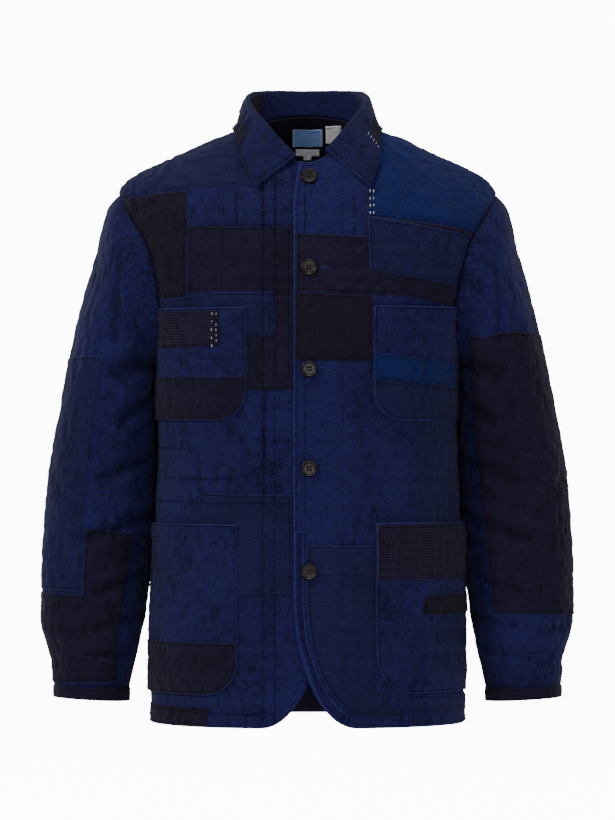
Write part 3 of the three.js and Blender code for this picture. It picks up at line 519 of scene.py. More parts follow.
class Finish:
    """A material under construction. node() adds any node from its type, its settings and its sockets."""

    def __init__(self, name, roughness, sheen=0.0, specular=0.1):
        self.material = bpy.data.materials.new(name)
        self.material.use_nodes = True
        self.tree = self.material.node_tree
        self.shader = self.tree.nodes["Principled BSDF"]
        self.set("Roughness", roughness)
        self.set("Specular IOR Level", specular)
        self.set("Sheen Weight", sheen)
        self.set("Sheen Roughness", 0.6)

    def set(self, socket, value):
        if isinstance(value, Value):
            self.tree.links.new(value.socket, self.shader.inputs[socket])
        else:
            self.shader.inputs[socket].default_value = value

    def node(self, kind, settings=(), sockets=(), output=0):
        node = self.tree.nodes.new(kind)
        for key, value in dict(settings).items():
            setattr(node, key, value)
        for key, value in dict(sockets).items():
            if isinstance(value, Value):
                self.tree.links.new(value.socket, node.inputs[key])
            else:
                node.inputs[key].default_value = value
        return Value(self, node.outputs[output])

    def mark(self, name):
        return self.node("ShaderNodeAttribute", {"attribute_name": name}, output=2)

    def mix(self, share, low, high):
        return self.node("ShaderNodeMix", {"data_type": "RGBA"}, {0: share, 6: low, 7: high}, 2)

    def noise(self, vector, stretch, detail=2.0, rough=0.5):
        scaled = self.node("ShaderNodeVectorMath", {"operation": "MULTIPLY"}, {0: vector, 1: stretch})
        return self.node("ShaderNodeTexNoise", {},
                         {"Vector": scaled, "Scale": 1.0, "Detail": detail, "Roughness": rough})


def dye(red, green, blue):
    """A colour given as screen values from 0 to 255, as linear light."""
    share = np.array([red, green, blue]) / 255
    return (*np.where(share < 0.04045, share / 12.92, ((share + 0.055) / 1.055) ** 2.4), 1.0)


def cloth_finish(name, ground, faded_and_lit, motif=None, thread=None, pitch=(3.6, 2.1), size=(0.6, 0.6), strong=0.8):
    """Hand-loomed cotton, by flat place: slubs are noise drawn out along warp and weft, fading follows large soft
    clouds, and the plain weave is a product of two sines. The turned edges are paler, partly rubbing wear and partly
    a painted highlight; crests and crease ridges are painted paler and valleys darker, partly wear and partly
    painted light and shade; a band just inside the edges is painted darker as the shade of the stitched groove. A
    motif adds pale stitches on a grid of the pitch, every other row moved half a step for 'staggered'."""
    finish = Finish(name, 0.92, sheen=0.04)
    uv = finish.node("ShaderNodeUVMap", {"uv_map": "cut"})
    split = finish.node("ShaderNodeSeparateXYZ", {}, {"Vector": uv})
    u = split * 1000
    v = Value(finish, split.socket.node.outputs[1]) * 1000
    slub = finish.noise(uv, (1250, 110, 1)) + finish.noise(uv, (110, 1250, 1))
    grain = finish.noise(uv, (620, 620, 1), 3.0, 0.7)
    cloud = finish.noise(uv, (24, 24, 1), 4.0, 0.6)
    edge, rise = finish.mark("edge"), finish.mark("rise")
    # Paler within 1.5 of the turned edge: partly rubbing wear, partly a painted highlight on the edge's crest.
    edge_wear_and_highlight = (1 - edge.between(0.1, 1.5)) * (0.35 + grain)
    # Painted light and shade: paler on the crinkles' crests, darker in their valleys and the stitched valleys, partly
    # wear on the crests.
    crest = rise.between(-2.0, 3.0)
    # Ridged noise: its ridges are raised in the bump and also painted paler, partly wear and partly a painted
    # highlight.
    crease = 1 - (finish.noise(uv, (105, 62, 1), 2.5, 0.62) - 0.5).math("ABSOLUTE") * 7.0
    crease = crease.math("MAXIMUM", -0.2)
    # Mix share: slubs, grain and clouds are the cloth's own fading; crests, crease ridges and edges add painted
    # highlight and shade on top of wear.
    wear_and_painted_light = ((slub - 1) * 0.8 + (grain - 0.5) * 1.3 + (cloud - 0.5) * 0.2 + crest * 0.3 + edge_wear_and_highlight * 0.34
            + crease * 0.15 + 0.13)
    # Painted shade: a darker band 1.2 to 4.2 in from the edge, where the stitched groove lies.
    painted_groove_shade = (edge.between(1.2, 2.2)) * (1 - edge.between(2.8, 4.2))
    shade = finish.mix((wear_and_painted_light - painted_groove_shade * 0.22).math("MAXIMUM", 0.0).math("MINIMUM", 1.0), ground, faded_and_lit)
    weave = (u * 6.9).math("SINE") * (v * 6.9).math("SINE")
    bump = weave * 0.06 + slub * 0.12 + grain * 0.16 + crease * 0.75
    if motif:
        row = v / pitch[1]
        step = u / pitch[0] + (row.math("FLOOR") * 0.5 if motif == "staggered" else 0.0)
        across = (step.math("FRACT") - 0.5).math("ABSOLUTE") * pitch[0] / size[0]
        up = (row.math("FRACT") - 0.5).math("ABSOLUTE") * pitch[1] / size[1]
        dot = 1 - (across * across + up * up).math("SQRT").between(0.55, 1.25)
        dot = dot * (0.35 + grain * 1.1) * strong
        shade = finish.mix(dot.math("MINIMUM", 1.0), shade, thread)
        bump = bump + dot * 0.5
    finish.set("Base Color", shade)
    finish.set("Normal", finish.node("ShaderNodeBump", {},
                                     {"Strength": 0.8, "Distance": 0.0008, "Height": bump}))
    return finish.material


indigo = cloth_finish("indigo quilting", dye(5, 4, 26), dye(34, 34, 96))
brown_black = cloth_finish("brown-black cotton", dye(9, 5, 16), dye(32, 23, 46))
midnight = cloth_finish("midnight cotton", dye(8, 5, 20), dye(33, 26, 56))
dot_twill = cloth_finish("dotted twill", dye(7, 6, 26), dye(27, 27, 74), "staggered", dye(40, 46, 106),
                         (3.7, 2.15), (0.95, 0.62), 0.6)
bright_sashiko = cloth_finish("bright sashiko", dye(4, 6, 36), dye(10, 20, 80), "staggered", dye(34, 56, 132),
                              (3.4, 1.9), (0.95, 0.55), 0.9)
dashed = cloth_finish("dashed cotton", dye(7, 4, 17), dye(26, 20, 42), "rows", dye(70, 70, 112),
                      (2.7, 3.2), (0.5, 0.95), 0.6)

under, over = BodyFace(-1, FRONT_DEPTH, 11), BodyFace(-1, FRONT_DEPTH, 11, lap=2.8)
EDGE_X = {"over": -17, "under": 20}
EDGE_BEND, EDGE_SWEEP = -560, 76


def seam_x(z):
    """Distance of the side seam, and above it the armhole seam, from the middle."""
    return np.where(np.asarray(z) < UNDERARM, follow(HALF_WIDTH, z), follow(ARMHOLE, z))


def seam_line(side):
    """Side seam and armhole from the hem up to the shoulder tip, then the shoulder seam in to the neck."""
    z = np.concatenate([np.arange(HEM, UNDERARM, 12), np.linspace(UNDERARM, TIP, 30)])
    x = np.linspace(231, 75, 40)
    return [*zip(side * seam_x(z), z), *zip(side * x, follow(SHOULDER, x))]


def neck_z(x):
    """Front neckline: a round drop of 50, deepest at the middle."""
    return 6 - 50 * (1 - (np.asarray(x) / 75) ** 2) ** 2


def front_outline(edge_x, side):
    """Cut-away quarter ellipse, hem, side seam, armhole, shoulder and neckline, back to the front edge."""
    turn = np.linspace(0, np.pi / 2, 24)
    curve = zip(edge_x + side * EDGE_SWEEP * (1 - np.cos(turn)), EDGE_BEND + (HEM - EDGE_BEND) * np.sin(turn))
    x = np.linspace(75, side * edge_x + 7, 24)
    return [*curve, *seam_line(side)[:-1], *zip(side * x, neck_z(x)), (edge_x, -90)]


def both_seams():
    """The sewn edges of both fronts as one line, over the neck."""
    x = np.linspace(75, -75, 40)
    return [*seam_line(1), *zip(x, neck_z(x)), *seam_line(-1)[::-1]]


# Lines of stitching across the fronts, each with the depth that it pulls in.
RIGHT_LINES = [
    ([(-53, -60), (-53, -716)], 1.1), ([(-39, -60), (-39, -716)], 0.8), ([(-85, -75), (-85, -121)], 1.0),
    ([(-50, -318), (-50, -354), (-52, -374), (-51, -394), (-58, -411), (-71, -420), (-92, -424), (-128, -425),
      (-172, -423)], 0.9),
    ([(-56, -341), (-18, -341)], 0.6), ([(-52, -380), (-18, -380)], 0.6), ([(-182, -388), (-130, -388)], 1.0),
    ([(-129, -384), (-129, -480)], 1.0), ([(-182, -452), (-130, -452)], 0.8),
    ([(-129, -454), (-18, -454)], 0.7),
    ([(-188, -703), (-60, -706), (-44, -700)], 1.0), ([(-143, -121), (-18, -121)], 0.7),
    ([(-102, -120), (-102, -200)], 0.5), ([(-20, -318), (-72, -318)], 0.6)]
LEFT_LINES = [
    ([(42, -60), (42, -712)], 1.0), ([(56, -75), (56, -712)], 0.8),
    ([(56, -354), (56, -394), (62, -413), (73, -423), (85, -426), (128, -427), (182, -430)], 0.9),
    ([(76, -442), (84, -475)], 0.6), ([(-16, -384), (41, -384)], 0.6), ([(130, -427), (182, -427)], 0.5),
    ([(130, -458), (182, -458)], 0.6), ([(64, -703), (90, -706), (189, -701)], 1.0),
    ([(-3, -487), (-3, -560), (4, -620), (18, -664), (37, -690), (62, -705)], 0.9),
    ([(-3, -60), (-3, -480)], 0.5),
    ([(-16, -283), (77, -283)], 0.7), ([(-16, -504), (82, -504)], 0.6)]
for surface in (under, over):
    surface.seams = surface.flat(both_seams())
    surface.valleys = [(surface.flat(spaced(line, 6)), depth) for line, depth in RIGHT_LINES + LEFT_LINES]

over_loop = closed(over, front_outline(EDGE_X["over"], 1))
under_loop = closed(under, front_outline(EDGE_X["under"], -1))
cut_piece("front_left", over, [over_loop], -2, 0, indigo, "indigo", 3.3)
cut_piece("front_right", under, [under_loop], -2, 0, indigo, "indigo", 3.3)

# ---------------------------------------------------------------- patches on the fronts
# Old cloths sewn flat on the panels, each with its raw edge turned under. Those that meet a seam run into it.
PATCH, GAP = 1.0, 0.15
over_inner, under_inner = drawn_in(over_loop, 1.2), drawn_in(under_loop, 1.2)
shadow = [(-18, -560), (-11, -620), (-4.5, -655), (8, -700), (8, -760), (-260, -760), (-260, 40), (-18, 40)]
uncovered = closed(under, shadow)
panels = {"over": (over, [over_inner]), "under": (under, [under_inner, uncovered])}


def box(left, right, bottom, top):
    return [(left, bottom), (right, bottom), (right, top), (left, top)]


def edge_strip(edge_x, bend, sweep, side, top, last):
    """A strip 13 wide along the cut-away edge: a quarter ellipse, and the same line moved in along its normal."""
    turn = np.linspace(0, last, 16)
    line = np.stack([edge_x + side * (sweep * (1 - np.cos(turn)) + 0.4),
                     bend + (HEM - bend) * np.sin(turn) + 0.4], -1)
    way = np.stack([sweep * np.sin(turn), (HEM - bend) * np.cos(turn)], -1)
    way /= np.hypot(*way.T)[:, None]
    within = line + 13 * np.stack([-side * way[:, 1], way[:, 0]], -1)
    head = [(edge_x + side * 13.4, top), (edge_x + side * 0.4, top)] if top > bend else []
    return [*head, *line, *within[::-1]]


turn = np.linspace(0, np.pi / 2, 16)
inside_strip = [*zip(-3 + 76 * (1 - np.cos(turn)), -560 - 162 * np.sin(turn) + 13 * np.sin(turn)),
                (230, -709), (230, -718), (260, -718), (260, -400), (-3, -400)]
FRONT_PATCHES = [
    ("shoulder_patch_right", "under", dot_twill, "dot_twill", 0,
     [(-68, -72), (-144, -75), (-169, -77), (-240, -84), (-240, 40), (-73, 5), (-70, -14), (-50, -33),
      (-50, -72)]),
    ("collar_side_patch", "under", dot_twill, "dot_twill", 0, box(-48, -27, -70, -44)),
    ("armhole_patch_right", "under", brown_black, "brown_black", 0,
     [(-145.5, -78), (-145.5, -204.5), (-240, -215.5), (-240, -87)]),
    ("chest_patch_right", "under", midnight, "midnight", 0,
     [(-16, -122), (-16, -318), (-72, -318), (-72, -252.5), (-39.5, -252.5), (-39.5, -199), (-105, -199),
      (-143.5, -202), (-143.5, -121)]),
    ("strip_patch_right", "under", dot_twill, "dot_twill", 0,
     [(-41, -200.5), (-42, -251), (-73, -251), (-73, -268), (-200, -270), (-200, -212.5), (-105, -201)]),
    ("belly_patch_right", "under", dot_twill, "dot_twill", 0,
     [(-14, -444), (-14, -566), (-129, -566), (-129, -441), (-82, -443)]),
    ("hem_patch_right", "under", midnight, "midnight", 0,
     [(-119, -698), (-119, -730), (-220, -730), (-220, -699)]),
    ("edge_strip_right", "under", indigo, "indigo", 0, edge_strip(20, -600, 70, -1, -610, 1.1)),
    ("shoulder_patch_left", "over", bright_sashiko, "bright_sashiko", 0,
     [(85, 40), (84.5, -64), (76, -89), (72.5, -107), (169, -117.5), (240, -137), (240, 40)]),
    ("yoke_patch_left", "over", dot_twill, "dot_twill", 1,
     [(72, -109.5), (197, -131), (177, -192), (74, -174)]),
    ("chest_band_left", "over", midnight, "midnight", 0,
     [(-20, -131), (71, -134), (71, -110), (169, -121), (240, -139.5), (240, -220), (170, -216), (116, -205),
      (-20, -200)]),
    ("chest_patch_left", "over", brown_black, "brown_black", 0,
     [(-20, -201.5), (77, -205), (77, -283), (-20, -283)]),
    ("side_patch_left", "over", dot_twill, "dot_twill", 0, box(129, 200, -479, -346)),
    ("edge_strip_left", "over", indigo, "indigo", 0, edge_strip(-17, -560, 76, 1, -487, 1.35)),
    ("hem_patch_left", "over", indigo, "indigo", 0, [(122.5, -730), (122.5, -683), (220, -688), (220, -730)])]
sewn_loops = []
for node, panel, finish, slot, layer, outline in FRONT_PATCHES:
    surface, limits = panels[panel]
    loops = [closed(surface, outline), *limits]
    lift = GAP + layer * 1.3
    cut_piece(node, surface, loops, lift, lift + PATCH, finish, slot, 2.6,
              wide=13 * node.startswith("edge_strip"))
    sewn_loops.append((surface, loops, lift + PATCH, None))
skirt_loops = [closed(over, [(-20, -504), (82, -504), (82, -676), (121, -715), (121, -730), (-20, -730)]),
               over_inner, closed(over, inside_strip)]
cut_piece("skirt_patch_left", over, skirt_loops, GAP, GAP + PATCH, dot_twill, "dot_twill", 2.6)
sewn_loops.append((over, skirt_loops, GAP + PATCH, None))

# ---------------------------------------------------------------- pockets and what is sewn on them
# Two chest and two hip patch pockets with round lower corners, their outer sides caught in the side seams. Their
# mouths stand a little open, and strips of other cloth cross them.
POCKET, POCKET_WALL = 1.6, 1.4


def pocket_outline(side, inner, top, bottom, radius):
    """Straight inner side, quarter-round lower corner, bottom, and an outer side past the seam."""
    turn = np.linspace(0, np.pi / 2, 14)
    round_x, round_z = inner + radius * (1 - np.cos(turn)), bottom + radius * (1 - np.sin(turn))
    return [(side * inner, top), *zip(side * round_x, round_z), (side * 230, bottom), (side * 230, top)]


POCKETS = {
    "chest_pocket_right": ("under", -1, 73, -219, -355, 36),
    "chest_pocket_left": ("over", 1, 78.5, -217, -355, 36),
    "hip_pocket_right": ("under", -1, 83, -479, -684, 40),
    "hip_pocket_left": ("over", 1, 82, -477, -682, 46)}
POCKET_TRIMS = [
    ("dashed_patch_chest_right", "chest_pocket_right", dashed, "dashed", box(-230, -103, -266, -222)),
    ("foot_patch_chest_right", "chest_pocket_right", midnight, "midnight", box(-230, -60, -380, -302)),
    ("band_patch_chest_left", "chest_pocket_left", bright_sashiko, "bright_sashiko",
     [(70, -272), (175, -283), (175, -315), (70, -304)]),
    ("foot_patch_chest_left", "chest_pocket_left", dot_twill, "dot_twill",
     [(70, -305.5), (230, -321), (230, -380), (70, -380)]),
    ("foot_patch_hip_right", "hip_pocket_right", midnight, "midnight", box(-230, -70, -700, -621)),
    ("dashed_patch_hip_left", "hip_pocket_left", dashed, "dashed", box(70, 230, -546, -479)),
    ("small_patch_hip_left", "hip_pocket_left", brown_black, "brown_black", box(137, 230, -588, -565))]
swells = {}
for node, (panel, side, inner, top, bottom, radius) in POCKETS.items():
    surface, limits = panels[panel]
    loops = [closed(surface, pocket_outline(side, inner, top, bottom, radius)), limits[0]]

    def belly(flat, edge, top=top, bottom=bottom):
        """A pocket stands away most at its mouth and swells a little in its middle."""
        rise = (flat[:, 1] - bottom) / (top - bottom)
        return ease(3, 26, edge) * 1.6 + ease(0.72, 1.0, rise) * ease(2, 40, edge + 30 * (rise > 0.9)) * 2.2

    cut_piece(node, surface, loops, POCKET, POCKET + POCKET_WALL, indigo, "indigo", 2.6, GAP, belly)
    sewn_loops.append((surface, loops, POCKET + POCKET_WALL, belly))
    border = Cut(loops)

    def over_belly(flat, edge, border=border, belly=belly):
        return belly(flat, border.border(flat)[0])

    swells[node] = over_belly
    for trim, pocket, finish, slot, outline in POCKET_TRIMS:
        if pocket == node:
            pieces = [closed(surface, outline), drawn_in(loops[0], 0.8), drawn_in(limits[0], 0.8)]
            low = POCKET + POCKET_WALL + GAP
            cut_piece(trim, surface, pieces, low, low + PATCH, finish, slot, 2.6, None, over_belly)
            sewn_loops.append((surface, pieces, low + PATCH, over_belly))

# ---------------------------------------------------------------- the back, its facings and labels
# One panel of the same quilting. Inside its neck lie a dark facing, a woven label and two small care labels,
# all bare, and along its hem a facing of the same dark cotton.
behind = BodyFace(1, BACK_DEPTH, 41)
x = np.linspace(75, -75, 40)
back_neck = [*zip(x, 6 + 16 * (1 - (x / 75) ** 2))]
back_seams = [*seam_line(1), *back_neck, *seam_line(-1)[::-1]]
behind.seams = behind.flat(back_seams)
behind.valleys = [(behind.flat(spaced(line, 6)), depth) for line, depth in (
    ([(0, 0), (0, -718)], 1.1), ([(-205, -150), (205, -150)], 1.0), ([(-188, -703), (188, -703)], 1.0),
    ([(-95, -150), (-95, -718)], 0.7), ([(95, -150), (95, -718)], 0.7), ([(-184, -420), (-95, -420)], 0.7),
    ([(95, -330), (181, -330)], 0.7), ([(0, -540), (95, -540)], 0.7), ([(-95, -300), (0, -300)], 0.7))]
cut_piece("back", behind, [closed(behind, back_seams)], -2, 0, indigo, "indigo", 3.6)


class Lining(BodyFace):
    """The inner side of a face: its flat p runs the other way, and heights go inwards from the wall's inside."""

    def spot(self, flat):
        return super().spot(flat * (-1, 1))

    def flat(self, corners):
        return super().flat(corners) * (-1, 1)

    def normal(self, flat, spots):
        return -body_normal(spots, self.keys)

    def height(self, flat, spots):
        return 2 - behind.height(flat * (-1, 1), spots)

    def cloth(self, flat):
        return flat


def plain_finish(name, ground, light, roughness):
    """A smooth narrow-loom cloth: fine grain, and a paler line woven along its edge."""
    finish = Finish(name, roughness, sheen=0.03)
    uv = finish.node("ShaderNodeUVMap", {"uv_map": "cut"})
    grain = finish.noise(uv, (1500, 500, 1), 2.0)
    rim = 1 - finish.mark("edge").between(0.9, 1.7)
    finish.set("Base Color", finish.mix((grain * 0.5 + rim * 0.7).math("MINIMUM", 1.0), ground, light))
    finish.set("Normal", finish.node("ShaderNodeBump", {},
                                     {"Strength": 0.3, "Distance": 0.0003, "Height": grain}))
    return finish.material


inside_cotton = cloth_finish("inside cotton", dye(14, 11, 24), dye(38, 33, 58))
label_blue = plain_finish("pale blue label", dye(118, 158, 232), dye(176, 200, 244), 0.6)
label_white = plain_finish("white label", dye(236, 237, 242), dye(250, 250, 252), 0.6)
lining = Lining(1, BACK_DEPTH, 41)
lining.seams = behind.seams
INSIDE = [
    ("neck_facing", inside_cotton, "inside", 0,
     [(-72, 10), (-72, -14), (-60, -62), (60, -62), (72, -14), (72, 10),
                                                 *[(x, z + 0.6) for x, z in back_neck[1:-1]]], 3.0),
    ("hem_facing", inside_cotton, "inside", 0, box(-150, 150, -719, -693), 4.0),
    ("woven_label", label_blue, "label_blue", 1, box(-19, 19, -13, 8), 1.6),
    ("care_label", label_white, "label_white", 1, box(23, 43, -9, 12), 1.6),
    ("size_label", label_white, "label_white", 1,
     [(-15, -16), (-15, -24), (-5, -24), (-5, -29), (5, -29), (5, -24), (15, -24), (15, -16)], 1.2)]
for node, finish, slot, layer, outline, step in INSIDE:
    lift = GAP + layer * 1.3
    cut_piece(node, lining, [closed(lining, outline)], lift, lift + PATCH, finish, slot, step)

# ---------------------------------------------------------------- sleeves and cuffs
# Each sleeve is a tube of quilted indigo, set into its armhole and narrowing to a dark bound cuff. It is given
# by rings: outer and inner point, half depth, how far it lies behind the side seam, and its twist.
RINGS = [
    (231, -78, 184.5, -290, 78, 0, 0), (244, -97, 188, -298, 79, 1, 0.02),
    (256, -148, 187, -318, 78, 3, 0.06),
    (272, -205, 185, -345, 76, 7, 0.1), (287, -268, 183.5, -372, 74, 10, 0.12),
    (302, -348, 184, -408, 72, 11, 0.13),
    (313, -420, 186, -452, 70, 9, 0.13), (320, -490, 190, -506, 66, 5, 0.13),
    (323, -550, 196, -556, 63, 0, 0.12),
    (323, -590, 200, -591, 60, -5, 0.1), (320, -613, 204, -613, 57, -8, 0.08),
    (313, -635, 208, -636, 52, -11, 0.05),
    (309.8, -652, 212, -654, 49, -13, 0.03), (309.8, -677.5, 217.5, -680, 46.5, -15, 0)]
RING_KEYS = [[(r, ring[k]) for r, ring in enumerate(RINGS)] for k in range(7)]
COLUMNS = [0, 15, 32, 55, 80, 105, 130, 155, 180, 205, 230, 255, 280, 305, 328, 345, 360]
SLEEVE_GIRTH = 70                 # cloth per radian of a sleeve's turn
SLEEVE_POWER = 2.15               # of the superellipse that a ring follows
TUCK_IN, TUCK_UP = 3.4, 0.6       # of the seam at the shoulder tip
mids = [((a + c) / 2, (b + d) / 2) for a, b, c, d, *_ in RINGS]
SLEEVE_FALL = np.concatenate([[0], np.cumsum(np.hypot(*np.diff(mids, axis=0).T))])


class Sleeve:
    """A sleeve, unrolled: p runs round it to the right as seen from outside, and w runs up from minus its length
    at the cuff. Ring points are superellipses in the turn, and the first stretch eases from the armhole curve."""

    def __init__(self, side, seed):
        self.side, self.seed, self.folds = side, seed, []

    def cloth(self, flat):
        return flat

    def flat(self, corners):
        column, ring = np.asarray(corners, float).T
        turn = np.interp(column, np.arange(-16, 17), [c - 360 for c in COLUMNS[:-1]] + COLUMNS)
        fall = np.interp(ring, np.arange(len(RINGS)), SLEEVE_FALL)
        return np.stack([-self.side * np.radians(turn) * SLEEVE_GIRTH, -fall], -1)

    def spot(self, flat):
        turn = -self.side * flat[:, 0] / SLEEVE_GIRTH
        ring = np.interp(-flat[:, 1], SLEEVE_FALL, np.arange(len(RINGS)))
        ox, oz, ix, iz, depth, back, twist = (follow(keys, ring) for keys in RING_KEYS)
        along, across = (np.sign(v) * np.abs(v) ** (2 / SLEEVE_POWER) for v in (np.cos(turn), np.sin(turn)))
        deep = -depth * across
        tube = np.stack([(ox + ix) / 2 + (ox - ix) / 2 * along - twist * deep, back + deep,
                         (oz + iz) / 2 + (oz - iz) / 2 * along], -1)
        z = UNDERARM + (TIP - UNDERARM) * (1 + np.cos(turn)) / 2
        x = follow(ARMHOLE, z)
        forward = np.sin(turn) > 0
        depth = np.where(forward, -body_depth(x, z, FRONT_DEPTH), body_depth(x, z, BACK_DEPTH))
        tip = ease(0.7, 1.0, np.cos(turn))
        hole = np.stack([x + 0.3 * (2 - np.cos(turn)) - TUCK_IN * tip, depth, z + TUCK_UP * tip], -1)
        spots = hole + (tube - hole) * ease(0, 1, ring)[:, None]
        return spots * (self.side, 1, 1)

    def normal(self, flat, spots):
        """Across the slopes along p and w, by small steps."""
        right = self.spot(flat + (1, 0)) - self.spot(flat - (1, 0))
        up = self.spot(flat + (0, 1) * (flat[:, 1:] < -2)) - self.spot(flat - (0, 1))
        out = np.cross(right, up)
        return out / np.maximum(np.linalg.norm(out, axis=1, keepdims=True), 1e-9)

    def height(self, flat, spots):
        """Crinkles, deep folds as long smooth valleys, and calm at both ends."""
        turn = -self.side * flat[:, 0] / SLEEVE_GIRTH
        round_flat = np.stack([(turn % (2 * np.pi)) * SLEEVE_GIRTH, flat[:, 1]], -1)
        seam = np.abs(turn % (2 * np.pi) - np.pi) * SLEEVE_GIRTH
        rise = crinkle(self.seed, round_flat) * ease(0, 26, seam)
        for start, end, deep, wide in self.folds:
            line = self.flat(spaced([start, end], 0.25))
            line[:, 0] = (-self.side * line[:, 0]) % (2 * np.pi * SLEEVE_GIRTH)
            away = nearest(round_flat, line[:-1], np.diff(line, axis=0))[0]
            rise += deep * (-np.exp(-((away / wide) ** 2)) + 0.6 * np.exp(-(((away - 1.9 * wide) / wide) ** 2)))
        return rise * ease(0, 24, -flat[:, 1]) * ease(0, 10, SLEEVE_FALL[-1] + flat[:, 1])


def wall_tube(node, finish, slot, flat, outer, inner, rise, size):
    """A closed wall from an outer and an inner grid of rings by columns whose last column meets the first."""
    rows, columns = outer.shape[:2]
    outer, inner, flat, rise = outer[:, :-1], inner[:, :-1], flat, rise[:, :-1]
    count = columns - 1
    r, c = np.meshgrid(np.arange(rows - 1), np.arange(count), indexing="ij")
    r, c = r.ravel(), c.ravel()
    def at(ring, column, face):
        return (face * rows + ring) * count + column % count
    quads = np.stack([at(r, c, 0), at(r + 1, c, 0), at(r + 1, c + 1, 0), at(r, c + 1, 0)], -1)
    back = np.stack([at(r, c, 1), at(r, c + 1, 1), at(r + 1, c + 1, 1), at(r + 1, c, 1)], -1)
    e = np.arange(count)
    top = np.stack([at(0, e, 0), at(0, e + 1, 0), at(0, e + 1, 1), at(0, e, 1)], -1)
    foot = np.stack([at(rows - 1, e, 0), at(rows - 1, e, 1), at(rows - 1, e + 1, 1), at(rows - 1, e + 1, 0)],
                    -1)
    points = np.vstack([outer.reshape(-1, 3), inner.reshape(-1, 3)])
    faces = np.vstack([quads, back, top, foot])
    a, b, d = points[quads[:, 0]], points[quads[:, 1]], points[quads[:, 2]]
    outward = (np.cross(b - a, d - a) * (a - points.mean(0)) * (1, 1, 0)).sum()
    if outward < 0:
        faces = faces[:, ::-1]
    wide = flat[:, :-1]
    end = np.minimum(wide[..., 1].max() - wide[..., 1], wide[..., 1] - wide[..., 1].min())
    marks = {"edge": np.tile(end.ravel(), 2), "rise": np.tile(rise.ravel(), 2)}
    piece = put_mesh(f"{node}_cloth", points, faces, None, marks)
    uv = piece.data.uv_layers.new(name="cut")
    corner_flat = np.tile(wide.reshape(-1, 2), (2, 1))
    loops = np.zeros(len(piece.data.loops), np.int32)
    piece.data.loops.foreach_get("vertex_index", loops)
    sides = corner_flat[loops].reshape(-1, 4, 2)
    girth = np.abs(flat[0, -1, 0] - flat[0, 0, 0])
    span = sides[:, :, 0].max(1) - sides[:, :, 0].min(1)
    low = sides[:, :, 0] < (flat[..., 0].max() + flat[..., 0].min()) / 2
    sides[:, :, 0] += np.where((span > girth / 2)[:, None] & low, girth, 0)
    uv.data.foreach_set("uv", (sides * 0.001).astype(np.float32).ravel())
    piece.data.materials.append(finish)
    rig.ride(piece, "root")
    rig.replaces(piece, node)
    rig.slot(piece, slot)
    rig.sheet(piece, flat=size, held="hung")
    return piece


sleeves = {"right": Sleeve(-1, 61), "left": Sleeve(1, 71)}
FOLDS = [((7.2, 0.5), (4.6, 3.4), 3.6, 8), ((8, 1.4), (5.2, 4.4), 2.6, 7), ((3.4, 0.3), (4.4, 2.6), 2.0, 7),
         ((7.5, 4.6), (4.6, 5.8), 2.2, 8), ((7.6, 6.2), (4.2, 7.0), 2.4, 8), ((7.2, 7.6), (4.8, 8.2), 1.8, 7),
         ((1.2, 5.6), (3.8, 6.6), 1.4, 8), ((7.6, 9.0), (4.4, 9.6), 2.0, 7),
         ((2.0, 9.4), (4.4, 10.1), 1.5, 6),
         ((6.8, 10.8), (4.2, 11.2), 1.6, 6), ((10, 3), (12.5, 5.5), 2.4, 9), ((9.5, 5.4), (12.4, 7), 2.2, 8),
         ((14.4, 1), (13, 4), 2.0, 8), ((10, 8.2), (13, 9), 1.8, 7)]
for name, sleeve in sleeves.items():
    sleeve.folds = FOLDS
    turns = np.linspace(0, 2 * np.pi, 151)
    falls = np.concatenate([[0, 0.8], np.linspace(3, SLEEVE_FALL[-1] - 3, 190),
                            SLEEVE_FALL[-1] + np.array([-0.8, 0])])
    grid = np.stack(np.meshgrid(falls, turns, indexing="ij"), -1)
    flat = np.stack([-sleeve.side * grid[..., 1] * SLEEVE_GIRTH, -grid[..., 0]], -1)
    spots, normals, rise = lie(sleeve, flat.reshape(-1, 2))
    shape = grid.shape[:2]
    turned = np.minimum(ease(-1.5, 1.5, grid[..., 0]),
                        ease(-1.5, 1.5, SLEEVE_FALL[-1] - grid[..., 0])).reshape(-1, 1)
    outer, inner = spots - normals * 0.9 * (1 - turned), spots - normals * (2 - 0.9 * (1 - turned))
    wall_tube(f"sleeve_{name}", indigo, "indigo", flat, outer.reshape(*shape, 3), inner.reshape(*shape, 3),
              rise.reshape(shape), (0.44, 0.5))
    last, out = outer.reshape(*shape, 3)[-1], normals.reshape(*shape, 3)[-1] * (1, 1, 0)
    out /= np.linalg.norm(out, axis=1, keepdims=True)
    levels = np.array([0.3, 0.6, 2, 3.4, 5, 7, 9, 11, 13, 14.4, 15])
    tilt = 0.03 * (np.abs(last[:, 0]) - 264)
    down = levels[:, None] - levels[:, None] / 15 * tilt
    swell = 0.4 + 0.5 * np.sin(np.pi * levels / 15)[:, None] ** 0.5 + 0.12 * np.sin(turns * 37)
    band = last + np.stack([down * 0, down * 0, -down], -1) + out * 0.7
    cuff_flat = np.stack(np.broadcast_arrays(turns * 56, -levels[:, None]), -1)
    wall_tube(f"cuff_{name}", midnight, "midnight", cuff_flat, band + out * swell[..., None],
              band - out * (2.2 + 0.2 * swell[..., None]), swell, (0.3, 0.015))
